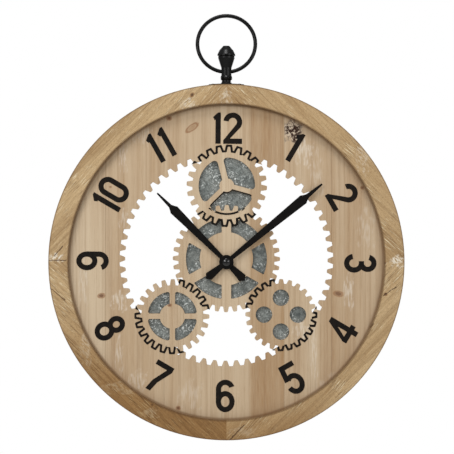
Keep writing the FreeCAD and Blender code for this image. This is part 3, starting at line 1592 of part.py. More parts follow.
# Rotor with its magnet in the stator's hole
rotor = new_body("rotor")
stator_back = layer_back(5)
stator_middle = stator_back - S.stator_thickness / 2
add_tube(rotor, S.arbor_radius, bridge_back, bridge_back - arbor_front)
rotor_pinion_turn_at = meshing_turn(S.rotor_turn, as_size(0), S.fifth_wheel_teeth, S.rotor_pinion_teeth)
add_wheel(rotor, S.rotor_pinion_teeth, S.train_module, 6, rotor_pinion_turn_at)
pad_disc(rotor, S.rotor_magnet_radius, stator_middle + S.rotor_magnet_length / 2, S.rotor_magnet_length)
hung(rotor, *rotor_spot)

# Setting knob behind the cover, with its pinion on the minute wheel
setting_knob = new_body("setting_knob")
knob_front = case_back + S.knob_gap
knob_back = knob_front + S.knob_height
add_tube(setting_knob, S.knob_shaft_radius, knob_front, knob_front - arbor_front)
knob_pinion_turn_at = meshing_turn(
    S.knob_turn, minute_wheel_turn_at, S.minute_wheel_teeth, S.knob_pinion_teeth
)
add_wheel(setting_knob, S.knob_pinion_teeth, S.train_module, 2, knob_pinion_turn_at)
pad_disc(setting_knob, S.knob_radius, knob_back, S.knob_height)
notch_sketch = draw_circle(
    front_sketch(setting_knob, knob_front), S.knob_notch_radius, 0, S.knob_radius
)
notch = setting_knob.newObject("PartDesign::Pocket", "knob_notch")
notch.Profile = notch_sketch
bind(notch, Length=S.knob_height)
setting_knob.Tip = notch
around(setting_knob, notch, S.knob_notches)
hung(setting_knob, *knob_spot)


# Case: floor with the threaded bush, walls, posts, stud and pivot holes
def square_layer(body, back, thickness, half, inner=None):
    """A square slab or frame."""
    sketch = front_sketch(body, back)
    draw_outline(sketch, [(-half, -half), (-half, half), (half, half), (half, -half)])
    if inner is not None:
        draw_outline(sketch, [(-inner, -inner), (-inner, inner), (inner, inner), (inner, -inner)])
    return pad(body, sketch, thickness)


case_blank = new_body("case_blank")
square_layer(case_blank, floor_back, S.case_floor, S.case_half_width)
case_inner = S.case_half_width - S.case_wall
square_layer(case_blank, cover_front, cover_front - floor_back, S.case_half_width, case_inner)
add_tube(case_blank, S.bush_radius, case_front, case_front - bush_front)
case_post_length = bridge_front - floor_back
case_posts = []
for side in (-1, 1):
    for rise in (S.post_rise, -S.post_drop):
        case_posts.append(
            rod(
                f"post_{len(case_posts)}",
                S.post_radius,
                case_post_length,
                "back",
                side * S.post_side,
                floor_back,
                rise,
            ),
        )
stud_length = layer_back(2) - floor_back + S.pivot_gap
case_stud = rod(
    "case_stud", S.stud_radius, stud_length, "back", minute_spot[0], floor_back, minute_spot[1]
)
divider_half = case_inner - S.divider_end_gap
divider_top = -S.divider_drop
divider_low = divider_top - S.divider_thickness
case_divider = block(
    "case_divider", -divider_half, divider_half, floor_back, cover_front, divider_low, divider_top
)
case_corners = []
for side_x in (-1, 1):
    for side_z in (-1, 1):
        lump = block(
            f"corner_block_{len(case_corners)}",
            side_x * S.case_half_width - S.case_corner,
            side_x * S.case_half_width + S.case_corner,
            case_front,
            cover_front,
            side_z * S.case_half_width - S.case_corner,
            side_z * S.case_half_width + S.case_corner,
        )
        stay = rod(
            f"corner_round_{len(case_corners)}",
            S.case_corner,
            cover_front - case_front,
            "back",
            side_x * (S.case_half_width - S.case_corner),
            case_front,
            side_z * (S.case_half_width - S.case_corner),
        )
        case_corners.append(cut(f"corner_cutter_{len(case_corners)}", lump, stay))
bush_bore = rod("bush_bore", S.bush_bore_radius, floor_back - bush_front, "back", 0, bush_front, 0)


def pivot_hole(name, radius, place):
    return rod(name, radius + S.pivot_gap, S.pivot_depth, "front", place[0], floor_back, place[1])


case_holes = [
    pivot_hole("third_hole", S.arbor_radius, third_spot),
    pivot_hole("fifth_hole", S.arbor_radius, fifth_spot),
    pivot_hole("rotor_hole", S.arbor_radius, rotor_spot),
    pivot_hole("knob_hole", S.knob_shaft_radius, knob_spot),
]
case_cutter = fuse("case_cutter", [bush_bore] + case_holes + case_corners)
case_filled = fuse("case_filled", [case_blank, case_stud, case_divider] + case_posts)
movement_case = cut("movement_case", case_filled, case_cutter)
hung(movement_case)

# Bridge plate with the arbors' rear holes
bridge_blank = block(
    "bridge_blank",
    -S.bridge_half_width,
    S.bridge_half_width,
    bridge_front,
    bridge_back,
    divider_top,
    S.bridge_top,
)


def bridge_hole(name, radius, place):
    return rod(name, radius + S.pivot_gap, S.bridge_thickness, "back", place[0], bridge_front, place[1])


bridge_holes = [
    bridge_hole("third_bearing", S.arbor_radius, third_spot),
    bridge_hole("fifth_bearing", S.arbor_radius, fifth_spot),
    bridge_hole("rotor_bearing", S.arbor_radius, rotor_spot),
    bridge_hole("seconds_bearing", S.seconds_arbor_radius, (0, 0)),
    bridge_hole("knob_bearing", S.knob_shaft_radius, knob_spot),
]
gear_bridge = cut("gear_bridge", bridge_blank, together("bridge_holes", bridge_holes))
hung(gear_bridge)

# Cover over the wheels, with the knob's hole; the battery bay stays open
cover_blank = block(
    "cover_blank",
    -S.case_half_width,
    S.case_half_width,
    cover_front,
    case_back,
    divider_low,
    S.case_half_width,
)
cover_hole = rod(
    "cover_hole",
    S.knob_shaft_radius + S.pivot_gap,
    S.cover_thickness,
    "back",
    knob_spot[0],
    cover_front,
    knob_spot[1],
)
movement_cover = cut("movement_cover", cover_blank, cover_hole)
hung(movement_cover)

# Rubber washer, washer and nut on the bush
rubber_washer = new_body("rubber_washer")
pad_disc(rubber_washer, S.rubber_radius, case_front, S.rubber_thickness, S.bush_radius)
hung(rubber_washer)
mounting_washer = new_body("mounting_washer")
pad_disc(mounting_washer, S.washer_radius, face_front, S.washer_thickness, S.bush_radius)
hung(mounting_washer)
mounting_nut = new_body("mounting_nut")
nut_sketch = front_sketch(mounting_nut, washer_front)
nut_corner = S.nut_width / 2 / cosine(30)
draw_outline(nut_sketch, [(nut_corner * sine(60 * k), nut_corner * cosine(60 * k)) for k in range(6)])
draw_circle(nut_sketch, S.bush_radius)
pad(mounting_nut, nut_sketch, S.nut_thickness)
hung(mounting_nut)

# Stator plate with two arms, coil core across them, and the coil
rotor_x, rotor_z = rotor_spot
core_z = rotor_z + S.core_rise
stator_blank = new_body("stator_blank")
stator_top = core_z + S.core_half_height
stator_left, stator_right = rotor_x - S.stator_half_width, rotor_x + S.stator_half_width
stator_sketch = front_sketch(stator_blank, stator_back)
draw_outline(
    stator_sketch,
    [
        (stator_left, rotor_z - S.stator_half_height),
        (stator_left, stator_top),
        (stator_left + S.stator_arm_width, stator_top),
        (stator_left + S.stator_arm_width, rotor_z + S.stator_half_height),
        (stator_right - S.stator_arm_width, rotor_z + S.stator_half_height),
        (stator_right - S.stator_arm_width, stator_top),
        (stator_right, stator_top),
        (stator_right, rotor_z - S.stator_half_height),
    ],
)
draw_circle(stator_sketch, S.stator_bore_radius, rotor_x, rotor_z)
pad(stator_blank, stator_sketch, S.stator_thickness)
stator_blank.Label = "stator"
hung(stator_blank)
core_back = stator_back - S.stator_thickness
core_front = core_back - S.stator_thickness
core_blank = block(
    "coil_core",
    stator_left,
    stator_right,
    core_front,
    core_back,
    core_z - S.core_half_height,
    stator_top,
)
core_in_coil = block(
    "core_in_coil",
    stator_left,
    stator_right,
    core_front,
    core_back,
    core_z - S.core_half_height,
    stator_top,
)
put(core_blank, stator_left, core_front, core_z - S.core_half_height - S.hang_radius)
core_blank.Label = "coil_core"
coil_solid = rod(
    "coil_solid",
    S.coil_radius,
    2 * S.coil_half_length,
    "right",
    rotor_x - S.coil_half_length,
    core_front + S.stator_thickness / 2,
    core_z,
)
coil = cut("coil", coil_solid, core_in_coil)
hung(coil)

# Circuit board with a potted chip and a crystal can
board_back = cover_front - S.board_gap
board_front = board_back - S.board_thickness
contact_inner = case_inner - S.contact_thickness
board_middle_z = (S.board_low + contact_inner) / 2
circuit_board = block(
    "circuit_board",
    S.board_left,
    contact_inner,
    board_front,
    board_back,
    S.board_low - S.hang_radius,
    contact_inner - S.hang_radius,
)
circuit_board.Label = "circuit_board"
chip_x = (S.board_left + contact_inner) / 2 - S.parts_pitch / 2
drive_chip = new_body("drive_chip")
turn_profile(
    drive_chip,
    [
        (board_back, 0),
        (board_back, S.chip_radius),
        (board_back + S.chip_height / 2, S.chip_radius * cosine(30)),
        (board_back + S.chip_height, S.chip_radius / 2),
        (board_back + S.chip_height, 0),
    ],
)
hung(drive_chip, chip_x, board_middle_z)
quartz_crystal = rod(
    "quartz_crystal",
    S.crystal_radius,
    S.crystal_length,
    "right",
    chip_x + S.parts_pitch - S.crystal_length / 2,
    board_back + S.crystal_radius,
    board_middle_z - S.hang_radius,
)
quartz_crystal.Label = "quartz_crystal"

# Battery across the bay, and its two contact strips
battery_z = divider_low - S.battery_gap - S.battery_radius
battery_y = floor_back + S.battery_gap + S.battery_radius
battery_half = S.battery_length / 2
battery_can = rod(
    "battery_can",
    S.battery_radius,
    S.battery_length - S.battery_nub_length,
    "right",
    -battery_half,
    battery_y,
    battery_z,
)
battery_nub = rod(
    "battery_nub",
    S.battery_nub_radius,
    S.battery_nub_length,
    "right",
    battery_half - S.battery_nub_length,
    battery_y,
    battery_z,
)
battery = fuse("battery", [battery_can, battery_nub])
hung(battery)
strip_back = board_back
strip_front = strip_back - 2 * S.contact_half_width
strip_low = battery_z - S.contact_tip_radius
positive_strip = block(
    "positive_strip", contact_inner, case_inner, strip_front, strip_back, strip_low, contact_inner
)
positive_tip = rod(
    "positive_tip",
    S.contact_tip_radius,
    contact_inner - battery_half,
    "right",
    battery_half,
    battery_y,
    battery_z,
)
positive_contact = fuse("positive_contact", [positive_strip, positive_tip])
hung(positive_contact)
negative_strip = block(
    "negative_strip", -case_inner, -contact_inner, strip_front, strip_back, strip_low, case_inner
)
negative_run = block(
    "negative_run", -case_inner, S.contact_reach, strip_front, strip_back, contact_inner, case_inner
)
negative_tip = rod(
    "negative_tip",
    S.contact_tip_radius,
    contact_inner - battery_half,
    "right",
    -contact_inner,
    battery_y,
    battery_z,
)
negative_contact = fuse("negative_contact", [negative_strip, negative_run, negative_tip])
hung(negative_contact)
hung(hanger_plate, 0, S.hang_radius)
hanger_screws_out = together("hanger_screws_out", [hanger_screws])

NODES = {
    "rim_top_left": rim_pieces[3],
    "rim_top_right": rim_pieces[0],
    "rim_bottom_right": rim_pieces[1],
    "rim_bottom_left": rim_pieces[2],
    "joint_dowels": joint_dowels,
    "hanger_plate": hanger_plate,
    "hanger_screws": hanger_screws_out,
    "finial_base_plate": finial_base_plate,
    "base_plate_screws": base_screws_out,
    "finial": finial,
    "finial_bolt": finial_bolt_out,
    "bow_ring": bow_ring,
    "dial_ring": dial_ring,
    "top_gear": top_gear,
    "centre_gear": centre_gear,
    "left_gear": left_gear,
    "right_gear": right_gear,
    "gear_outlines": gear_outlines,
    "dial_numerals": dial_numerals,
    "panel_screws": face_screws,
    "top_backing": top_backing,
    "centre_backing": centre_backing,
    "left_backing": left_backing,
    "right_backing": right_backing,
    "backing_screws": backing_screws,
    "hour_hand": hour_hand,
    "minute_hand": minute_hand,
    "hand_cap": hand_cap,
    "movement_case": movement_case,
    "movement_cover": movement_cover,
    "gear_bridge": gear_bridge,
    "rubber_washer": rubber_washer,
    "mounting_washer": mounting_washer,
    "mounting_nut": mounting_nut,
    "hour_wheel": hour_wheel,
    "centre_wheel": centre_wheel,
    "minute_wheel": minute_wheel,
    "third_wheel": third_wheel,
    "seconds_wheel": seconds_wheel,
    "fifth_wheel": fifth_wheel,
    "rotor": rotor,
    "setting_knob": setting_knob,
    "stator": stator_blank,
    "coil_core": core_blank,
    "coil": coil,
    "circuit_board": circuit_board,
    "drive_chip": drive_chip,
    "quartz_crystal": quartz_crystal,
    "positive_contact": positive_contact,
    "negative_contact": negative_contact,
    "battery": battery,
}

# Check everything, then write each piece
for name, item in NODES.items():
    item.Label = name
doc.recompute()
for item in doc.Objects:
    if any(word in item.State for word in ("Invalid", "Error")):
        raise RuntimeError(f"{item.Label} did not compute: {item.State}")
for name, item in NODES.items():
    if item.Shape.isNull() or not item.Shape.isValid():
        raise RuntimeError(f"{name} has no valid shape")
os.makedirs("parts", exist_ok=True)
for name, item in NODES.items():
    item.Shape.exportStep(f"parts/{name}.step")
    print(name, len(item.Shape.Solids), round(item.Shape.Volume, 1))
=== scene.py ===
# %% [markdown]
# # A wooden gear wall clock
# The clock's face is cut out of one thin wooden panel in the shape of meshing gears, inside a thick jointed
# rim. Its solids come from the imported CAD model, which stays as it is. This lesson gives each of them the
# finish of the real thing with shader nodes, rounds the sharp edges a little, and lights the whole like a
# studio photograph. Everything is in metres, the wall is at y = 0 and the clock looks toward -Y.

# %% Load the clock as a fixed frame
import json
import math

import bpy
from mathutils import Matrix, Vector


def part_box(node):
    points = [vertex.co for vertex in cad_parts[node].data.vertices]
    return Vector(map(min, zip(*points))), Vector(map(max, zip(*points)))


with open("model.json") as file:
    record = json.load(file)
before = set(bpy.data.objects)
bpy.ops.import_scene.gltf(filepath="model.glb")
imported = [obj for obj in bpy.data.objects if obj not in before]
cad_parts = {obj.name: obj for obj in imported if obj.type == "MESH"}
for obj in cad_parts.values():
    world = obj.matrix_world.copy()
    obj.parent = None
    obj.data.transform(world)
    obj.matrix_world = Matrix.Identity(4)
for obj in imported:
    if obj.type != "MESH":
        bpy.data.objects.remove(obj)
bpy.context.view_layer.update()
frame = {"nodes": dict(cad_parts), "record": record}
nodes = frame["nodes"]

# %% [markdown]
# ## Where things are
# The rim's centre is the one place that the finishes refer to, because knots, lime patches and saw marks are
# placed by their distance to the right of it and above it. A solid's vertices are already in the clock's
# frame, so Object coordinates give the same place on every solid, and one board's grain runs on through its
# neighbour. The lip is the rim's inner edge, which lies in front of the panel.

# %% Measure the rim
rim_nodes = ["rim_top_left", "rim_top_right", "rim_bottom_right", "rim_bottom_left"]
corners = [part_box(name) for name in rim_nodes]
rim_radius = max(high.x for low, high in corners)
centre_height = min(low.z for low, high in corners) + rim_radius
rim_points = nodes["rim_top_left"].data.vertices
lip_radius = min(math.hypot(point.co.x, point.co.z - centre_height) for point in rim_points)


def on_face(right, up):
    return (right, 0.0, centre_height + up)


print("rim radius:", round(rim_radius, 4), "lip radius:", round(lip_radius, 4),
      "centre height:", round(centre_height, 4))

# %% [markdown]
# ## Small helpers
# A material is a tree of nodes, and writing one by hand takes many lines. These helpers add a node with its
# inputs, either numbers or the outputs of other nodes, and do one sum, on numbers or on vectors, so that each
# recipe below reads like a list of steps.


# %% Node helpers
def plug(tree, socket, value):
    if isinstance(value, bpy.types.NodeSocket):
        tree.links.new(value, socket)
    else:
        socket.default_value = value


def add(tree, kind, inputs=None, **settings):
    node = tree.nodes.new("ShaderNode" + kind)
    for name, value in settings.items():
        setattr(node, name, value)
    for place, value in (inputs or {}).items():
        plug(tree, node.inputs[place], value)
    return node


def calc(tree, operation, *values):
    return add(tree, "Math", dict(enumerate(values)), operation=operation).outputs[0]


def vector(tree, operation, *values):
    return add(tree, "VectorMath", dict(enumerate(values)), operation=operation).outputs[0]


def measure(tree, operation, *values):
    return add(tree, "VectorMath", dict(enumerate(values)), operation=operation).outputs["Value"]


def scaled(tree, value, factor):
    return add(tree, "VectorMath", {0: value, "Scale": factor}, operation="SCALE").outputs[0]


def axis_of(tree, value, axis):
    return add(tree, "SeparateXYZ", {0: value}).outputs[axis]


print("node helpers ready")

# %% [markdown]
# ### Masks, colours and places
# A mask is a number from 0 to 1 over the surface. One helper fades a value into a mask, one blends two
# colours by it, and two make the noise that most finishes start from, the second one stretched along an axis.
# The last three turn a place about the clock's axis, move it to the rim's centre, and give its distance from
# there.


# %% Mask and place helpers
def fade(tree, value, start, end):
    inputs = {"Value": value, "From Min": start, "From Max": end}
    return add(tree, "MapRange", inputs, interpolation_type="SMOOTHSTEP").outputs["Result"]


def tint(tree, factor, base, over, way="MIX"):
    inputs = {0: factor, 6: base, 7: over}
    return add(tree, "Mix", inputs, data_type="RGBA", blend_type=way, clamp_factor=True).outputs[2]


def noise(tree, place, scale, detail=2.0, rough=0.5):
    inputs = {"Vector": place, "Scale": scale, "Detail": detail, "Roughness": rough}
    return add(tree, "TexNoise", inputs).outputs["Fac"]


def stretched(tree, place, stretch, detail, rough=0.5):
    return noise(tree, vector(tree, "MULTIPLY", place, stretch), 1.0, detail, rough)


def spun(tree, place, degrees):
    inputs = {"Vector": place, "Rotation": (0, math.radians(degrees), 0)}
    return add(tree, "Mapping", inputs, vector_type="POINT").outputs[0]


def from_centre(tree, place, keep=(1, 1, 1)):
    inputs = {"Vector": place, "Location": (0, 0, -centre_height), "Scale": keep}
    return add(tree, "Mapping", inputs, vector_type="POINT").outputs[0]


def radius_at(tree, place):
    return measure(tree, "LENGTH", from_centre(tree, place, (1, 0, 1)))


print("mask and place helpers ready")

# %% [markdown]
# ## Effects as node groups
# Grain, spots, cracks and wear turn up on more than one finish, so each is a node group with named inputs,
# made once and placed with other values in each material. A group gives out masks and heights only, and the
# shader itself stays in the material.


# %% Group helpers
def new_effect(name, inputs, outputs):
    tree = bpy.data.node_groups.new(name, "ShaderNodeTree")
    for label, kind, start in inputs:
        socket = tree.interface.new_socket(label, in_out="INPUT", socket_type="NodeSocket" + kind)
        socket.default_value = start
    for label in outputs:
        tree.interface.new_socket(label, in_out="OUTPUT", socket_type="NodeSocketFloat")
    start, end = tree.nodes.new("NodeGroupInput"), tree.nodes.new("NodeGroupOutput")
    return tree, start.outputs, end.inputs


def give(tree, ends, **values):
    for label, value in values.items():
        tree.links.new(value, ends[label])


def use(tree, effect, **inputs):
    node = add(tree, "Group", node_tree=effect)
    for label, value in inputs.items():
        plug(tree, node.inputs[label], value)
    return node.outputs


print("group helpers ready")

# %% [markdown]
# ### Straight grain
# Pine boards cut along the trunk show fine upright lines, wider and narrower bands of tone, and very fine
# fibres. Three noises stretched along Z give these, and a fourth, slow one lets the lines wander a little.
# Flecks are the short dark marks of pores and of the saw. Pitch is the usual distance between two lines.

# %% Straight grain effect
grain, g, g_end = new_effect(
    "straight_grain",
    [("Place", "Vector", (0, 0, 0)), ("Pitch", "Float", 0.004), ("Wander", "Float", 0.004),
     ("Seed", "Float", 0.0)],
    ["Tone", "Lines", "Fibres", "Flecks"],
)
moved = vector(grain, "ADD", g["Place"], add(grain, "CombineXYZ", {0: g["Seed"], 1: g["Seed"]}).outputs[0])
slow = noise(grain, vector(grain, "MULTIPLY", moved, (1, 1, 0.3)), 16.0, 1.0)
sway = calc(grain, "MULTIPLY", calc(grain, "SUBTRACT", slow, 0.5), g["Wander"])
swayed = vector(grain, "ADD", moved, add(grain, "CombineXYZ", {0: sway}).outputs[0])
pitched = scaled(grain, swayed, calc(grain, "DIVIDE", 1.0, g["Pitch"]))
give(
    grain,
    g_end,
    Tone=fade(grain, stretched(grain, pitched, (0.13, 0.13, 0.006), 2.0), 0.3, 0.7),
    Lines=fade(grain, stretched(grain, pitched, (0.9, 0.9, 0.011), 3.0, 0.6), 0.42, 0.72),
    Fibres=fade(grain, stretched(grain, pitched, (4.5, 4.5, 0.12), 2.0), 0.3, 0.7),
    Flecks=fade(grain, stretched(grain, pitched, (2.2, 2.2, 0.1), 1.0), 0.66, 0.74),
)
print("effect:", grain.name, len(grain.nodes), "nodes")

# %% [markdown]
# ### Spots at a place
# A knot and a lime patch are both an oval at a known place, turned by some angle. The Mapping node in Texture
# mode moves that oval onto the unit circle, and a little noise frays its edge. The strongest mark so far
# comes in and the stronger of the two goes out, so a row of spots needs no other node between them.

# %% Spot effect
spot, s, s_end = new_effect(
    "spot",
    [("Place", "Vector", (0, 0, 0)), ("Centre", "Vector", (0, 0, 0)), ("Turn", "Vector", (0, 0, 0)),
     ("Size", "Vector", (0.01, 1, 0.01)), ("Fray", "Float", 0.4), ("Strength", "Float", 1.0),
     ("Core", "Float", 0.0), ("Ring", "Float", 0.0)],
    ["Core", "Ring"],
)
unit = add(spot, "Mapping", {"Vector": s["Place"], "Location": s["Centre"], "Rotation": s["Turn"],
                             "Scale": s["Size"]}, vector_type="TEXTURE").outputs[0]
reach = measure(spot, "LENGTH", vector(spot, "MULTIPLY", unit, (1, 0, 1)))
frayed = calc(spot, "SUBTRACT", noise(spot, unit, 1.7, 3.0), 0.5)
reach = calc(spot, "ADD", reach, calc(spot, "MULTIPLY", frayed, calc(spot, "MULTIPLY", s["Fray"], 3.0)))
core = calc(spot, "MULTIPLY", fade(spot, reach, 1.0, 0.45), s["Strength"])
band = calc(spot, "MULTIPLY", fade(spot, reach, 0.6, 0.9), fade(spot, reach, 1.3, 1.0))
ring = calc(spot, "MULTIPLY", band, s["Strength"])
give(spot, s_end, Core=calc(spot, "MAXIMUM", core, s["Core"]), Ring=calc(spot, "MAXIMUM", ring, s["Ring"]))
print("effect:", spot.name, len(spot.nodes), "nodes")

# %% [markdown]
# ### Cracks
# A crack is a thin dark line between two points. The distance to a line is the length of what is left after
# the part along the line is taken away, and noise makes it a natural, slightly broken line.

# %% Crack effect
crack, c, c_end = new_effect(
    "crack",
    [("Place", "Vector", (0, 0, 0)), ("Start", "Vector", (0, 0, 0)), ("End", "Vector", (0, 0, 1)),
     ("Width", "Float", 0.001), ("Before", "Float", 0.0)],
    ["Mask"],
)
flat = vector(crack, "MULTIPLY", c["Place"], (1, 0, 1))
rough_edge = add(crack, "TexNoise", {"Vector": flat, "Scale": 160.0, "Detail": 2.0}).outputs["Color"]
bend = scaled(crack, vector(crack, "SUBTRACT", rough_edge, (0.5, 0.5, 0.5)), 0.004)
flat = vector(crack, "ADD", flat, vector(crack, "MULTIPLY", bend, (1, 0, 1)))
from_start = vector(crack, "SUBTRACT", flat, c["Start"])
whole = vector(crack, "SUBTRACT", c["End"], c["Start"])
sums = {0: measure(crack, "DOT_PRODUCT", from_start, whole), 1: measure(crack, "DOT_PRODUCT", whole, whole)}
share = add(crack, "Math", sums, operation="DIVIDE", use_clamp=True).outputs[0]
away = measure(crack, "DISTANCE", from_start, scaled(crack, whole, share))
line = fade(crack, calc(crack, "DIVIDE", away, c["Width"]), 1.0, 0.35)
give(crack, c_end, Mask=calc(crack, "MAXIMUM", line, c["Before"]))
print("effect:", crack.name, len(crack.nodes), "nodes")

# %% [markdown]
# ### Wear and speckle
# Painted metal and moulded plastic are never one flat colour. This effect gives a soft blotch, a fine speckle
# for the skin of the surface and a sparse mask of small chips, all from noise of a chosen size.

# %% Wear effect
wear, w, w_end = new_effect(
    "wear", [("Place", "Vector", (0, 0, 0)), ("Size", "Float", 0.004), ("Amount", "Float", 0.5)],
    ["Blotch", "Speckle", "Chips"],
)
sized = scaled(wear, w["Place"], calc(wear, "DIVIDE", 1.0, w["Size"]))
limit = calc(wear, "SUBTRACT", 0.82, calc(wear, "MULTIPLY", w["Amount"], 0.25))
chip_noise = noise(wear, sized, 1.3, 4.0, 0.65)
give(
    wear,
    w_end,
    Blotch=fade(wear, noise(wear, sized, 0.35, 2.0), 0.3, 0.7),
    Speckle=fade(wear, noise(wear, sized, 9.0, 1.0), 0.3, 0.7),
    Chips=fade(wear, chip_noise, limit, calc(wear, "ADD", limit, 0.05)),
)
print("effect:", wear.name, len(wear.nodes), "nodes")

# %% [markdown]
# ## Colours and depths
# Shader colours are linear, and a helper turns the familiar 0 to 255 screen values into them. Laying a colour
# over another takes a mask and how much of it counts, and carving lowers the surface under marks in the same
# way. Where no mark is near a solid its mask is a plain 0, and both then add nothing.


# %% Colour and depth helpers
def linear(*screen):
    shares = [value / 255 for value in screen]
    return tuple(((v + 0.055) / 1.055) ** 2.4 if v > 0.04045 else v / 12.92 for v in shares) + (1.0,)


def lay(tree, colour, mask, amount, over):
    if not mask:
        return colour
    return tint(tree, calc(tree, "MULTIPLY", mask, amount), colour, linear(*over))


def carve(tree, height, *marks):
    for mask, depth in marks:
        if mask:
            height = calc(tree, "SUBTRACT", height, calc(tree, "MULTIPLY", mask, depth))
    return height


print("colour helpers ready, mid grey is", round(linear(128, 128, 128)[0], 3))

# %% [markdown]
# ## One place to finish a material
# Every recipe ends in a Principled shader with a bump. The bump's height is in metres through its distance,
# so grain stays a few tenths of a millimetre deep at most. The numbers that are the same all over stay on the
# shader's own sockets. Dressing a solid takes its flat colour off and puts the new material on.


# %% Material helpers
def new_material(name):
    material = bpy.data.materials.new(name)
    material.use_nodes = True
    tree = material.node_tree
    tree.nodes.clear()
    return material, tree, add(tree, "TexCoord").outputs["Object"]


def finish_with(material, tree, colour, rough, height, depth=0.0002, strength=0.6, **values):
    shader = add(tree, "BsdfPrincipled", {"Base Color": colour, "Roughness": rough})
    for label, value in values.items():
        plug(tree, shader.inputs[label.replace("_", " ")], value)
    bump = add(tree, "Bump", {"Height": height, "Distance": depth, "Strength": strength})
    tree.links.new(bump.outputs["Normal"], shader.inputs["Normal"])
    end = add(tree, "OutputMaterial", {"Surface": shader.outputs[0]})
    end.is_active_output = True
    return material


def dress(names, material):
    for name in names:
        nodes[name].data.materials.clear()
        nodes[name].data.materials.append(material)
    print("finish:", material.name, "on", ", ".join(names))


print("material helpers ready")

# %% [markdown]
# ## Knots and lime near a solid
# A solid only needs the marks near it, so these helpers take its box, leave out the rest of a list and chain
# the ones that stay. A mark is its place right of the centre and above it, its half width and half height,
# for a knot its turn in degrees, and its strength.


# %% Marks near a solid
def near(name, place, room):
    low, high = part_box(name)
    x, y, z = place
    return low.x - room < x < high.x + room and low.z - room < z < high.z + room


def spot_at(tree, place, mark_place, size, turn=0, **values):
    wide, high = size
    return use(tree, spot, Place=place, Centre=on_face(*mark_place), Turn=(0, math.radians(turn), 0),
               Size=(wide, 1, high), **values)


def knots_near(tree, place, name, marks, room, fray):
    core, ring = 0.0, 0.0
    for mark_place, size, turn, strength in marks:
        if near(name, on_face(*mark_place), room):
            made = spot_at(tree, place, mark_place, size, turn, Fray=fray, Strength=strength, Core=core,
                           Ring=ring)
            core, ring = made["Core"], made["Ring"]
    return core, ring


def patches_near(tree, place, name, marks, room):
    patch = 0.0
    for mark_place, size, strength in marks:
        if near(name, on_face(*mark_place), room):
            patch = spot_at(tree, place, mark_place, size, Fray=0.8, Strength=strength, Core=patch)["Core"]
    return patch


print("mark helpers ready")

# %% [markdown]
# ## The panel's wood
# The face is one thin panel of veneered board, cut by laser: the dial and all four gears come from the same
# sheet, so one recipe serves all of them and its upright planks run on from piece to piece. Each plank is a
# place across the panel and a tone, from pale to dark, with one golden plank right of 12. Knots and worn lime
# patches sit where the photograph has them.

# %% Planks, knots and patches of the panel
plank_span = 0.6
planks = [(-0.300, 0.20), (-0.205, 0.26), (-0.204, 0.46), (-0.150, 0.52), (-0.106, 0.60), (-0.105, 0.44),
          (-0.055, 0.50), (-0.010, 0.36), (0.036, 0.40), (0.044, 0.78), (0.070, 0.72), (0.0975, 0.92),
          (0.0982, 0.42), (0.130, 0.34), (0.175, 0.46), (0.181, 0.58), (0.240, 0.44), (0.300, 0.52)]
seams = [-0.2045, -0.1055, 0.0978, 0.1780]
knots = [((-0.0970, 0.2432), (0.0042, 0.0036), 0, 1.0),
         ((-0.2115, -0.0569), (0.0060, 0.0040), -8, 1.0), ((0.1893, -0.0536), (0.0078, 0.0046), 12, 0.9),
         ((-0.0815, -0.2469), (0.0038, 0.0034), 0, 1.0), ((-0.0960, -0.0729), (0.0034, 0.0026), 0, 1.0),
         ((0.2300, 0.1258), (0.0030, 0.0030), 0, 0.9), ((-0.1960, 0.1270), (0.0022, 0.0018), 0, 0.7)]
limes = [((-0.181, -0.066), (0.016, 0.020), 0.75), ((-0.240, -0.033), (0.010, 0.045), 0.5),
         ((-0.181, -0.156), (0.008, 0.036), 0.55), ((-0.148, -0.199), (0.018, 0.020), 0.5),
         ((0.207, -0.049), (0.010, 0.034), 0.7), ((0.127, -0.118), (0.017, 0.018), 0.65),
         ((0.149, -0.156), (0.007, 0.050), 0.45), ((0.132, 0.184), (0.019, 0.026), 0.65),
         ((0.154, 0.150), (0.012, 0.046), 0.4), ((-0.174, 0.176), (0.008, 0.032), 0.5),
         ((-0.174, 0.073), (0.010, 0.020), 0.5), ((0.236, 0.055), (0.018, 0.040), 0.35),
         ((-0.060, -0.225), (0.024, 0.030), 0.3), ((0.180, -0.215), (0.030, 0.030), 0.3),
         ((-0.140, 0.215), (0.020, 0.020), 0.3)]
print("planks:", len(planks) - 1, "seams:", len(seams), "knots:", len(knots), "lime patches:", len(limes))

# %% [markdown]
# ### Planks, seams and cut edges
# A colour ramp across X holds the planks' tones, because it can fade slowly inside a plank and step sharply
# at its edge. Four of the edges show as fine dark seams. Where the surface turns away from the front it was
# cut, and there the wood is scorched and shows the layers of the board as waves along Y.


# %% Planks, seams and edges
def plank_tone(tree, across):
    ramp = add(tree, "ValToRGB", {0: calc(tree, "ADD", calc(tree, "MULTIPLY", across, 1 / plank_span), 0.5)})
    stops = ramp.color_ramp.elements
    for index, (x, tone) in enumerate(planks):
        stop = stops[index] if index < 2 else stops.new(x / plank_span + 0.5)
        stop.position = x / plank_span + 0.5
        stop.color = (tone, tone, tone, 1)
    return ramp.outputs[0]


def seam_lines(tree, across):
    seam = 0.0
    for seam_place in seams:
        gap = calc(tree, "ABSOLUTE", calc(tree, "SUBTRACT", across, seam_place))
        seam = calc(tree, "MAXIMUM", fade(tree, gap, 0.0009, 0.0002), seam)
    return seam


def cut_edges(tree, place, facing, colour):
    edge = fade(tree, calc(tree, "ABSOLUTE", facing), 0.75, 0.45)
    waves = {"Vector": place, "Scale": 190.0, "Distortion": 1.5, "Detail": 2.0, "Detail Scale": 6.0}
    layers = add(tree, "TexWave", waves, bands_direction="Y").outputs["Fac"]
    scorched = tint(tree, layers, linear(150, 118, 80), linear(108, 78, 50))
    return tint(tree, edge, colour, scorched)


print("plank helpers ready")

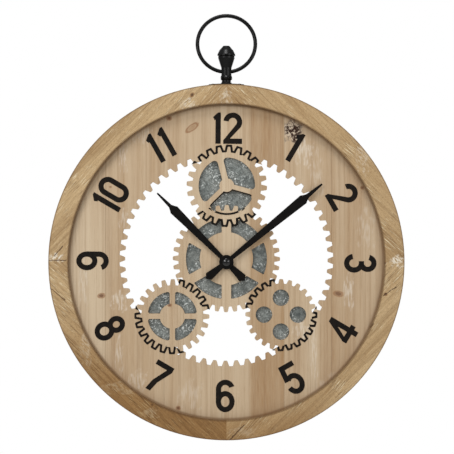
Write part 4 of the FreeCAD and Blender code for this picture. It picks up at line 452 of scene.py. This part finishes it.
# %% [markdown]
# ### The big knot and the bark pocket
# Two marks are on the dial alone. Left of 12 sits a large knot, whose ring shows more than its core. Beside
# the 1 the saw went through a pocket of bark: a pale frayed spot full of coarse dark crumbs. It ends at the
# seam left of it, as the next plank is another board, and it is on the front only.

# %% Marks on the dial alone
big_knot = ((-0.0582, 0.2273), (0.0118, 0.0048), -36)
bark_pocket = ((0.113, 0.221), (0.021, 0.024))
bark_starts = (0.0978, 0.0984)


def dial_marks(tree, place, across, facing, colour):
    outline = spot_at(tree, place, *big_knot, Fray=0.16)
    colour = lay(tree, colour, outline["Core"], 0.55, (152, 114, 78))
    colour = lay(tree, colour, outline["Ring"], 0.75, (140, 98, 62))
    pocket = spot_at(tree, place, *bark_pocket, Fray=0.6)["Core"]
    pocket = calc(tree, "MULTIPLY", pocket, fade(tree, across, *bark_starts))
    pocket = calc(tree, "MULTIPLY", pocket, fade(tree, facing, -0.4, -0.7))
    colour = lay(tree, colour, pocket, 0.85, (206, 188, 166))
    crumbs = fade(tree, noise(tree, place, 270.0, 3.0, 0.75), 0.43, 0.49)
    bark = calc(tree, "MULTIPLY", pocket, crumbs)
    return tint(tree, bark, colour, linear(56, 34, 22)), bark


print("big knot at", big_knot[0], "bark pocket at", bark_pocket[0])

# %% [markdown]
# ### The recipe for panel wood
# The plank's tone and the grain's make the wood, and lines, fibres, flecks, lime, knots and seams are laid on
# one after the other. Lime stays in the hollows alone, so streaky noise breaks its patches up. A painted
# shadow runs along the rim's lip as a thin brown band on the panel. The warmth moves the tone of the whole
# sheet, because the gears are a little paler than the dial in the photograph.


# %% Panel wood
def panel_wood(label, node_name, warmth=0.0):
    material, tree, place = new_material(label)
    across = axis_of(tree, place, "X")
    facing = axis_of(tree, add(tree, "TexCoord").outputs["Normal"], "Y")
    fibre = use(tree, grain, Place=place, Pitch=0.0034, Wander=0.004)
    uneven = calc(tree, "MULTIPLY", calc(tree, "SUBTRACT", fibre["Tone"], 0.5), 0.34)
    tone = calc(tree, "ADD", calc(tree, "ADD", plank_tone(tree, across), uneven), warmth)
    colour = tint(tree, tone, linear(210, 190, 161), linear(160, 123, 82))
    colour = lay(tree, colour, fibre["Lines"], 0.36, (140, 105, 72))
    colour = lay(tree, colour, fibre["Fibres"], 0.2, (216, 198, 170))
    colour = lay(tree, colour, fibre["Flecks"], 0.22, (134, 100, 68))
    patch = patches_near(tree, place, node_name, limes, 0.03)
    if patch:
        hollows = fade(tree, stretched(tree, place, (420, 420, 60), 3.0), 0.38, 0.62)
        colour = lay(tree, colour, calc(tree, "MULTIPLY", patch, hollows), 0.72, (232, 222, 206))
    core, ring = knots_near(tree, place, node_name, knots, 0.012, 0.22)
    colour = lay(tree, colour, ring, 0.7, (150, 104, 66))
    colour = lay(tree, colour, core, 0.85, (108, 66, 40))
    if node_name == "dial_ring":
        colour, bark = dial_marks(tree, place, across, facing, colour)
        core = calc(tree, "MAXIMUM", core, bark)
    seam = seam_lines(tree, across)
    colour = lay(tree, colour, seam, 0.28, (118, 90, 62))
    # painted shadow: a brown band just inside the lip stands in for the shade that the rim's lip casts on the
    # panel
    lip_shade = fade(tree, radius_at(tree, place), lip_radius - 0.0052, lip_radius - 0.0012)
    colour = lay(tree, colour, lip_shade, 0.7, (122, 90, 58))
    colour = cut_edges(tree, place, facing, colour)
    height = calc(tree, "MULTIPLY", fibre["Fibres"], 0.35)
    height = carve(tree, height, (fibre["Lines"], 0.5), (seam, 1.2), (core, 0.8))
    rough = calc(tree, "ADD", 0.66, calc(tree, "MULTIPLY", fibre["Lines"], 0.16))
    return finish_with(material, tree, colour, rough, height, depth=0.00025, strength=0.5,
                       Specular_IOR_Level=0.25)


dress(["dial_ring"], panel_wood("dial_panel_wood", "dial_ring"))
gear_warmth = {"top_gear": -0.10, "centre_gear": -0.04, "left_gear": -0.10, "right_gear": -0.12}
for gear, warmth in gear_warmth.items():
    dress([gear], panel_wood(gear + "_panel_wood", gear, warmth))

# %% [markdown]
# ## The rim's wood
# The rim is four arcs sawn from straight boards. The wood is more golden than the panel, and still carries
# saw marks, brushed lime, a few knots and some small splits at its ends. A split is its start, its end and
# its width.

# %% Marks on the rim
rim_knots = [((-0.0578, 0.2820), (0.0030, 0.0040), 40, 1.0), ((0.2683, -0.0540), (0.0026, 0.0026), 0, 1.0),
             ((0.2670, -0.0013), (0.0018, 0.0018), 0, 0.9), ((-0.1250, -0.2400), (0.0024, 0.0020), 30, 0.7)]
rim_limes = [((0.2880, 0.0015), (0.013, 0.012), 0.95), ((-0.2860, 0.0080), (0.014, 0.009), 0.95),
             ((-0.0620, 0.2660), (0.016, 0.012), 0.5), ((0.000, 0.2800), (0.012, 0.016), 0.45),
             ((-0.1720, -0.2120), (0.040, 0.014), 0.55), ((-0.1260, -0.2540), (0.016, 0.010), 0.7),
             ((-0.2360, -0.1420), (0.010, 0.040), 0.5), ((0.2300, 0.1780), (0.012, 0.034), 0.35),
             ((0.0300, -0.2850), (0.026, 0.010), 0.4)]
rim_splits = [((-0.290, 0.010), (-0.276, 0.027), 0.0012), ((0.006, -0.299), (0.030, -0.274), 0.0013),
              ((0.264, -0.056), (0.286, -0.042), 0.0010), ((0.225, -0.133), (0.247, -0.104), 0.0012),
              ((-0.296, -0.044), (-0.272, -0.064), 0.0009), ((-0.270, 0.003), (-0.299, 0.003), 0.0010)]
print("rim knots:", len(rim_knots), "lime patches:", len(rim_limes), "splits:", len(rim_splits))

# %% [markdown]
# ### Scratches, splits and shaded edges
# A coarse saw leaves pale and dark scratches along the board, thick in some places and thin in others, and a
# fine dark texture all over. The pale ones lie a few degrees off the grain. Both edges of the rim get a thin
# band of painted shade, where the rounded corners turn away from the light.


# %% Scratches, splits and edges
def scratches(tree, turned, scars):
    rubbed = fade(tree, noise(tree, turned, 20.0, 2.0), 0.40, 0.62)
    rubbed = calc(tree, "ADD", 0.12, calc(tree, "MULTIPLY", rubbed, scars))
    tilted = spun(tree, turned, 6)
    pale = fade(tree, stretched(tree, tilted, (950, 300, 34), 1.0), 0.60, 0.70)
    dark = fade(tree, stretched(tree, turned, (760, 300, 26), 2.0), 0.56, 0.68)
    sawn = fade(tree, stretched(tree, tilted, (1300, 400, 240), 2.0), 0.50, 0.64)
    return calc(tree, "MULTIPLY", pale, rubbed), calc(tree, "MULTIPLY", dark, rubbed), sawn


def splits_near(tree, place, name):
    split = 0.0
    for start, end, width in rim_splits:
        if near(name, on_face(*start), 0.01):
            split = use(tree, crack, Place=place, Start=on_face(*start), End=on_face(*end), Width=width,
                        Before=split)["Mask"]
    return split


# painted shade: a thin dark band along the rim's outer edge and along its lip edge
def shaded_edges(tree, place):
    away = radius_at(tree, place)
    outer = fade(tree, away, rim_radius - 0.0026, rim_radius - 0.0006)
    inner = fade(tree, away, lip_radius + 0.0026, lip_radius + 0.0008)
    return calc(tree, "MAXIMUM", outer, inner)


print("rim helpers ready")

# %% [markdown]
# ### The recipe for rim wood
# On each arc the grain runs along the line between its two ends, at 45 degrees, and meets the next one in a V
# at 12. The Mapping node turns the place until that line is Z. Each board has its own warmth, scars and seed,
# and darkens toward the bottom, where less light falls on it: dark_from and dark_to say how far below the
# centre that begins and ends.


# %% Rim wood
def rim_wood(label, node_name, turn, warmth, scars, seed, dark_from=0.02, dark_to=0.30):
    material, tree, place = new_material(label)
    turned = spun(tree, from_centre(tree, place), turn)
    fibre = use(tree, grain, Place=turned, Pitch=0.0046, Wander=0.005, Seed=seed)
    uneven = calc(tree, "MULTIPLY", calc(tree, "SUBTRACT", fibre["Tone"], 0.5), 0.5)
    tone = calc(tree, "ADD", 0.42 + warmth, uneven)
    colour = tint(tree, tone, linear(206, 177, 134), linear(150, 114, 70))
    colour = lay(tree, colour, fibre["Lines"], 0.46, (118, 85, 50))
    colour = lay(tree, colour, fibre["Fibres"], 0.3, (216, 192, 150))
    pale, dark, sawn = scratches(tree, turned, scars)
    colour = lay(tree, colour, dark, 0.75, (98, 68, 38))
    colour = tint(tree, pale, colour, linear(238, 224, 190))
    colour = lay(tree, colour, sawn, 0.42, (122, 90, 56))
    colour = lay(tree, colour, fibre["Flecks"], 0.4, (112, 80, 48))
    patch = patches_near(tree, place, node_name, rim_limes, 0.02)
    if patch:
        hollows = fade(tree, stretched(tree, turned, (380, 380, 130), 3.0, 0.65), 0.42, 0.56)
        colour = lay(tree, colour, calc(tree, "MULTIPLY", patch, hollows), 0.8, (240, 232, 214))
    core, ring = knots_near(tree, place, node_name, rim_knots, 0.01, 0.25)
    colour = lay(tree, colour, ring, 0.7, (140, 96, 56))
    colour = lay(tree, colour, core, 0.9, (80, 50, 30))
    split = splits_near(tree, place, node_name)
    colour = lay(tree, colour, split, 0.85, (66, 42, 24))
    low = fade(tree, axis_of(tree, place, "Z"), centre_height - dark_from, centre_height - dark_to)
    colour = tint(tree, low, colour, linear(200, 180, 152), "MULTIPLY")
    # painted shade darkens both edges of the rim
    colour = lay(tree, colour, shaded_edges(tree, place), 0.62, (98, 70, 42))
    height = calc(tree, "MULTIPLY", fibre["Fibres"], 0.4)
    height = carve(tree, height, (fibre["Lines"], 0.6), (pale, 0.5), (dark, 0.8), (split, 2.0))
    rough = calc(tree, "ADD", 0.64, calc(tree, "MULTIPLY", fibre["Lines"], 0.16))
    return finish_with(material, tree, colour, rough, height, depth=0.0004, strength=0.6,
                       Specular_IOR_Level=0.25)


boards = {"top_left": dict(turn=-45, warmth=0.04, scars=0.75, seed=0.31),
          "top_right": dict(turn=45, warmth=0.2, scars=0.9, seed=0.83),
          "bottom_right": dict(turn=-45, warmth=-0.08, scars=0.9, seed=1.27, dark_from=0.18, dark_to=0.34),
          "bottom_left": dict(turn=45, warmth=0.04, scars=1.3, seed=1.91, dark_from=0.02, dark_to=0.24)}
for corner, values in boards.items():
    dress(["rim_" + corner], rim_wood("rim_wood_" + corner, "rim_" + corner, **values))

# %% [markdown]
# ## The black print
# The numerals and the outlines of the gears are printed on the wood. The ink is flat black with a brown cast,
# a little thin along the grain, and small specks of wood show through it.


# %% Print
def print_ink():
    material, tree, place = new_material("black_ink")
    fibre = use(tree, grain, Place=place, Pitch=0.0042, Wander=0.006)
    worn = use(tree, wear, Place=place, Size=0.0028, Amount=0.62)
    colour = tint(tree, worn["Blotch"], linear(15, 14, 12), linear(27, 22, 18))
    colour = lay(tree, colour, fibre["Lines"], 0.2, (52, 39, 28))
    colour = lay(tree, colour, worn["Chips"], 0.5, (104, 80, 56))
    rough = calc(tree, "ADD", 0.62, calc(tree, "MULTIPLY", worn["Speckle"], 0.2))
    return finish_with(material, tree, colour, rough, fibre["Lines"], depth=0.0001, strength=0.4,
                       Specular_IOR_Level=0.12)


dress(["dial_numerals", "gear_outlines"], print_ink())

# %% [markdown]
# ## Galvanised sheet in the windows
# Behind the gears' windows sits dull galvanised steel. Its zinc skin dries in small crystals of different
# greys, which Voronoi cells imitate at two sizes, and pale specks lie over it in clusters.


# %% Galvanised sheet
def galvanised_sheet():
    material, tree, place = new_material("galvanised_sheet")
    wobble = add(tree, "TexNoise", {"Vector": place, "Scale": 90.0, "Detail": 2.0}).outputs["Color"]
    bent = vector(tree, "ADD", place, scaled(tree, wobble, 0.012))
    large = add(tree, "TexVoronoi", {"Vector": bent, "Scale": 170.0}).outputs["Color"]
    large = add(tree, "SeparateColor", {0: large}).outputs[0]
    small = add(tree, "TexVoronoi", {"Vector": bent, "Scale": 520.0}).outputs["Color"]
    small = add(tree, "SeparateColor", {0: small}).outputs[1]
    cloud = fade(tree, noise(tree, place, 38.0, 3.0), 0.3, 0.7)
    colour = tint(tree, cloud, linear(84, 90, 88), linear(142, 144, 138))
    colour = lay(tree, colour, large, 0.6, (172, 178, 174))
    colour = lay(tree, colour, small, 0.6, (68, 74, 72))
    specks = fade(tree, noise(tree, bent, 330.0, 2.0, 0.6), 0.56, 0.64)
    clusters = fade(tree, noise(tree, place, 42.0, 2.0), 0.38, 0.58)
    colour = lay(tree, colour, calc(tree, "MULTIPLY", specks, clusters), 0.9, (236, 240, 236))
    rough = calc(tree, "ADD", 0.5, calc(tree, "MULTIPLY", large, 0.25))
    metal = calc(tree, "ADD", 0.2, calc(tree, "MULTIPLY", small, 0.2))
    return finish_with(material, tree, colour, rough, small, depth=0.00005, strength=0.35, Metallic=metal)


dress(["top_backing", "centre_backing", "left_backing", "right_backing"], galvanised_sheet())

# %% [markdown]
# ## Painted metal
# The hands, the finial, its plate and screws, and the ring are all black, but each shines differently. One
# recipe takes two blacks, the roughness, how far the paint has worn, the size of its blotches and the gloss.
# Where the paint has chipped, dull iron shows.


# %% Painted metal
def painted_metal(label, dark, light, rough, worn_share, size, gloss):
    material, tree, place = new_material(label)
    worn = use(tree, wear, Place=place, Size=size, Amount=worn_share)
    colour = tint(tree, worn["Blotch"], linear(*dark), linear(*light))
    colour = lay(tree, colour, worn["Chips"], 0.75, (96, 90, 84))
    uneven = calc(tree, "MULTIPLY", calc(tree, "SUBTRACT", worn["Speckle"], 0.5), 0.1)
    metal = calc(tree, "MULTIPLY", worn["Chips"], 0.8)
    return finish_with(material, tree, colour, calc(tree, "ADD", rough, uneven), worn["Speckle"],
                       depth=0.00003, strength=0.15, Metallic=metal, Specular_IOR_Level=gloss)


dress(["finial"], painted_metal("finial_black", (8, 8, 8), (15, 15, 14), 0.32, 0.3, 0.003, 0.24))
dress(["bow_ring"], painted_metal("ring_black", (6, 6, 6), (11, 11, 10), 0.3, 0.2, 0.003, 0.2))
dress(["finial_base_plate"],
      painted_metal("plate_black", (12, 11, 11), (21, 20, 19), 0.44, 0.4, 0.003, 0.2))
dress(["base_plate_screws"],
      painted_metal("black_screws", (24, 23, 22), (44, 42, 40), 0.32, 0.6, 0.0012, 0.35))
dress(["hour_hand", "minute_hand"],
      painted_metal("hand_black", (9, 8, 7), (17, 14, 12), 0.55, 0.2, 0.004, 0.1))
dress(["hand_cap"], painted_metal("cap_black", (5, 5, 5), (9, 9, 8), 0.07, 0.0, 0.002, 0.55))

# %% [markdown]
# ## Plated and turned metal
# Screws, the hanger, the spring contacts, the crystal's can and the iron of the motor are bare or plated.
# They share one recipe: a metal with fine brush marks along one axis, a cloudy tone and, if wanted, brown
# stains. The brush marks are noise with a small number along the stroke and large ones across it.


# %% Bare metal
def bare_metal(label, dark, light, rough, brush, stain=0.0):
    material, tree, place = new_material(label)
    stroke = stretched(tree, place, brush, 3.0)
    worn = use(tree, wear, Place=place, Size=0.002, Amount=0.55)
    colour = tint(tree, fade(tree, stroke, 0.3, 0.7), linear(*dark), linear(*light))
    colour = lay(tree, colour, worn["Blotch"], 0.25, dark)
    colour = lay(tree, colour, worn["Chips"], stain, (120, 84, 52))
    shine = calc(tree, "ADD", rough, calc(tree, "MULTIPLY", worn["Blotch"], 0.16))
    return finish_with(material, tree, colour, shine, stroke, depth=0.00003, strength=0.3, Metallic=1.0)


dress(["hanger_plate"],
      bare_metal("zinc_hanger", (140, 143, 146), (190, 192, 194), 0.34, (300, 300, 3000), 0.25))
dress(["hanger_screws", "panel_screws", "backing_screws", "finial_bolt"],
      bare_metal("zinc_screws", (150, 152, 150), (205, 206, 202), 0.28, (4000, 900, 4000), 0.2))
dress(["mounting_nut", "mounting_washer"],
      bare_metal("turned_brass", (176, 140, 70), (226, 194, 120), 0.25, (3000, 400, 3000)))
dress(["stator", "coil_core"],
      bare_metal("soft_iron_sheet", (120, 122, 124), (168, 170, 172), 0.4, (300, 3000, 3000), 0.3))
dress(["quartz_crystal"],
      bare_metal("bright_can", (190, 190, 188), (228, 228, 224), 0.18, (200, 3000, 3000)))
dress(["positive_contact", "negative_contact"],
      bare_metal("nickel_contact", (176, 174, 168), (216, 214, 206), 0.24, (300, 3000, 300)))
dress(["rotor"],
      bare_metal("magnet_grey", (84, 86, 90), (118, 120, 124), 0.45, (2600, 300, 2600)))

# %% [markdown]
# ## Moulded plastic and rubber
# The movement is moulded plastic with a fine spark-eroded skin, seen from behind. Its wheels are pale natural
# plastic, the knob is red and the washer is rubber. The speckle carries both the tone and the bump, and the
# pale plastics let a little light in.


# %% Moulded plastic
def moulded(label, dark, light, rough, size, depth=0.00006, soft=0.0):
    material, tree, place = new_material(label)
    worn = use(tree, wear, Place=place, Size=size, Amount=0.3)
    paler = [min(255, value + 30) for value in light]
    colour = tint(tree, worn["Blotch"], linear(*dark), linear(*light))
    colour = lay(tree, colour, worn["Speckle"], 0.18, paler)
    colour = lay(tree, colour, worn["Chips"], 0.35, (150, 144, 134))
    shine = calc(tree, "ADD", rough, calc(tree, "MULTIPLY", worn["Speckle"], 0.14))
    return finish_with(material, tree, colour, shine, worn["Speckle"], depth=depth, strength=0.5,
                       Subsurface_Weight=soft, Subsurface_Scale=0.002)


dress(["movement_case", "movement_cover"],
      moulded("movement_black", (30, 30, 31), (42, 42, 43), 0.46, 0.004, 0.0001))
dress(["gear_bridge"], moulded("bridge_white", (206, 206, 198), (226, 226, 218), 0.4, 0.003, soft=0.1))
dress(["hour_wheel", "centre_wheel", "minute_wheel", "third_wheel", "seconds_wheel", "fifth_wheel"],
      moulded("wheel_cream", (214, 210, 196), (232, 229, 216), 0.36, 0.003, soft=0.1))
dress(["setting_knob"], moulded("knob_red", (150, 28, 24), (186, 44, 36), 0.42, 0.003))
dress(["rubber_washer"], moulded("washer_rubber", (34, 33, 33), (48, 47, 46), 0.72, 0.002))
dress(["circuit_board"], moulded("board_green", (30, 78, 46), (44, 98, 60), 0.4, 0.0015))
dress(["drive_chip"], moulded("potting_resin", (20, 20, 21), (34, 34, 35), 0.22, 0.003))

# %% [markdown]
# ## Hidden dowels
# Four hardwood dowels sit inside the rim's joints and hold its arcs together. Beech is even and pale, so it
# takes the panel's grain at a smaller pitch and with fainter lines.


# %% Dowel wood
def dowel_wood():
    material, tree, place = new_material("dowel_beech")
    fibre = use(tree, grain, Place=place, Pitch=0.002, Wander=0.003, Seed=3.0)
    colour = tint(tree, fibre["Tone"], linear(214, 188, 150), linear(190, 158, 116))
    colour = lay(tree, colour, fibre["Lines"], 0.4, (160, 124, 84))
    return finish_with(material, tree, colour, 0.6, fibre["Fibres"], depth=0.0001)


dress(["joint_dowels"], dowel_wood())

# %% [markdown]
# ## Copper windings
# The motor's coil is wound from enamelled copper wire. Fine waves across its length give the turns, in colour
# and in height, because single turns of so thin a wire are too small to model.


# %% Windings
def copper_windings():
    material, tree, place = new_material("copper_windings")
    waves = {"Vector": place, "Scale": 1600.0, "Distortion": 0.6, "Detail": 1.0}
    turns = add(tree, "TexWave", waves).outputs["Fac"]
    worn = use(tree, wear, Place=place, Size=0.002, Amount=0.3)
    colour = tint(tree, turns, linear(110, 52, 26), linear(206, 118, 66))
    colour = lay(tree, colour, worn["Blotch"], 0.3, (150, 74, 38))
    return finish_with(material, tree, colour, 0.3, turns, depth=0.0001, Metallic=0.7)


dress(["coil"], copper_windings())

# %% [markdown]
# ## The cell
# The cell wears a plain printed wrap without words. The wrap ends short of its bare metal ends, so the
# material changes along X, with a lighter band near the end that faces the plus contact.


# %% Cell skin
def cell_skin():
    material, tree, place = new_material("cell_wrap")
    low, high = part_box("battery")
    half_length = (high.x - low.x) / 2
    x = axis_of(tree, place, "X")
    from_middle = calc(tree, "ABSOLUTE", calc(tree, "SUBTRACT", x, (low.x + high.x) / 2))
    bare = fade(tree, from_middle, half_length - 0.0022, half_length - 0.0018)
    light_band = fade(tree, x, high.x - 0.014, high.x - 0.0138)
    worn = use(tree, wear, Place=place, Size=0.004, Amount=0.45)
    colour = tint(tree, worn["Blotch"], linear(40, 58, 96), linear(50, 70, 112))
    colour = tint(tree, light_band, colour, linear(186, 150, 84))
    colour = lay(tree, colour, worn["Chips"], 0.4, (150, 156, 168))
    colour = tint(tree, bare, colour, linear(200, 200, 196))
    shine = calc(tree, "ADD", 0.24, calc(tree, "MULTIPLY", worn["Speckle"], 0.1))
    metal = calc(tree, "MAXIMUM", bare, 0.25)
    return finish_with(material, tree, colour, shine, worn["Speckle"], depth=0.00003, Metallic=metal)


dress(["battery"], cell_skin())

# %% [markdown]
# ### Is anything left plain?
# The frame gives every solid a flat colour. A solid that still wears it, or nothing, was forgotten above, so
# this lists them. The list should be empty.

# %% Solids without a finish
flat_colours = {row["slot"] for row in frame["record"]["materials"]}


def is_plain(solid):
    worn_materials = solid.data.materials
    return not worn_materials or worn_materials[0].name in flat_colours


print("nodes without a new finish:", sorted(name for name, solid in nodes.items() if is_plain(solid)))

# %% [markdown]
# ## Soft edges
# No real edge is perfectly sharp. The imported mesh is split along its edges, so a Weld modifier joins it
# first, and a Bevel modifier then rounds what bends by more than 35 degrees. Both only show, and the mesh
# itself stays.


# %% Round the edges
def soften(names, width, segments=2):
    for name in names:
        weld = nodes[name].modifiers.new("join", "WELD")
        weld.merge_threshold = 0.000004
        bevel = nodes[name].modifiers.new("soft_edge", "BEVEL")
        bevel.width = width
        bevel.segments = segments
        bevel.limit_method = "ANGLE"
        bevel.angle_limit = math.radians(35)
        bevel.harden_normals = True
        bevel.use_clamp_overlap = True
    print("edges softened by", round(width * 1000, 2), "mm on", len(names), "pieces")


soften(rim_nodes, 0.0009, 3)
soften(["dial_ring", "top_gear", "centre_gear", "left_gear", "right_gear"], 0.00025)
soften(["hour_hand", "minute_hand"], 0.00012)

# %% [markdown]
# ## Floor
# The photograph is a plain studio picture on white, so a pale round floor lies well below the clock, where
# the camera doesn't see it from the front. It carries a faint cloud and a fine bump, and it is a separate
# object, not one of the clock's solids.

# %% Pale floor
floor_radius = 1.6
floor_height = -0.9
floor_corners = 96


def pale_floor():
    material, tree, place = new_material("pale_floor")
    cloud = noise(tree, place, 3.0, 3.0)
    colour = tint(tree, cloud, linear(236, 235, 232), linear(244, 243, 240))
    skin = noise(tree, place, 180.0, 2.0)
    return finish_with(material, tree, colour, 0.7, skin, depth=0.0002, strength=0.2)


angles = [math.tau * index / floor_corners for index in range(floor_corners)]
edge_points = [(floor_radius * math.cos(a), floor_radius * math.sin(a), floor_height) for a in angles]
floor_mesh = bpy.data.meshes.new("studio_floor")
floor_mesh.from_pydata(edge_points, [], [tuple(range(floor_corners))])
floor_mesh.materials.append(pale_floor())
floor = bpy.data.objects.new("studio_floor", floor_mesh)
bpy.context.scene.collection.objects.link(floor)
print("floor at z =", floor_height)

# %% [markdown]
# ## Lamps
# Two large soft lamps stand in front of the clock on the left and on the right, the left one stronger, as in
# the photograph. A third in front and above draws the shadow of the lip, and a fourth behind the clock lights
# its back and its edges. All of them aim at the rim's centre.


# %% Soft lamps
def soft_lamp(name, place, aim, size, power):
    data = bpy.data.lights.new(name, "AREA")
    data.shape, data.size, data.energy = "SQUARE", size, power
    lamp = bpy.data.objects.new(name, data)
    lamp.location = place
    lamp.rotation_mode = "QUATERNION"
    lamp.rotation_quaternion = (Vector(aim) - Vector(place)).to_track_quat("-Z", "Y")
    bpy.context.scene.collection.objects.link(lamp)
    print("lamp:", name, "at", place, "power", power)


middle = (0, 0, centre_height)
soft_lamp("soft_left", (-1.5, -2.0, 0.9), middle, 1.0, 22)
soft_lamp("soft_right", (1.7, -2.1, 0.5), middle, 1.0, 12)
soft_lamp("soft_top", (-0.2, -0.9, 1.6), middle, 0.7, 18)
soft_lamp("soft_behind", (0.3, 2.2, 0.8), middle, 1.4, 22)

# %% [markdown]
# ## World
# The background is pure white where the camera sees it and much softer as a light, so that the wood keeps its
# depth. The Light Path node tells the two apart. The Standard view shows the colours as they were chosen.

# %% White studio world
world = bpy.data.worlds.new("white_studio")
world.use_nodes = True
bpy.context.scene.world = world
sky = world.node_tree
sky.nodes.clear()
seen = add(sky, "Background", {"Color": (1, 1, 1, 1), "Strength": 1.0})
light = add(sky, "Background", {"Color": (0.98, 0.99, 1.0, 1), "Strength": 0.37})
by_camera = add(sky, "LightPath").outputs["Is Camera Ray"]
which = add(sky, "MixShader", {0: by_camera, 1: light.outputs[0], 2: seen.outputs[0]})
add(sky, "OutputWorld", {"Surface": which.outputs[0]})
bpy.context.scene.view_settings.view_transform = "Standard"
bpy.context.scene.view_settings.look = "None"
print("world:", world.name)

# %% [markdown]
# ## Camera
# The camera looks straight on from far away with a long lens, so the rim stays round and its sides hardly
# show. It stands above the rim's centre, because the finial and the ring belong to the picture too.

# %% Straight camera
camera_place = (0.001, -2.907, -0.2257)
camera_data = bpy.data.cameras.new("camera")
camera_data.lens, camera_data.sensor_width = 135, 36
camera_data.clip_start, camera_data.clip_end = 0.01, 50
camera = bpy.data.objects.new("camera", camera_data)
camera.location = camera_place
camera.rotation_euler = (math.radians(90), 0, 0)
bpy.context.scene.collection.objects.link(camera)
bpy.context.scene.camera = camera
print("camera looks along +Y from", camera_place)

# %% [markdown]
# ## Last update
# The view layer is updated once more at the end.

# %% Last update
bpy.context.view_layer.update()
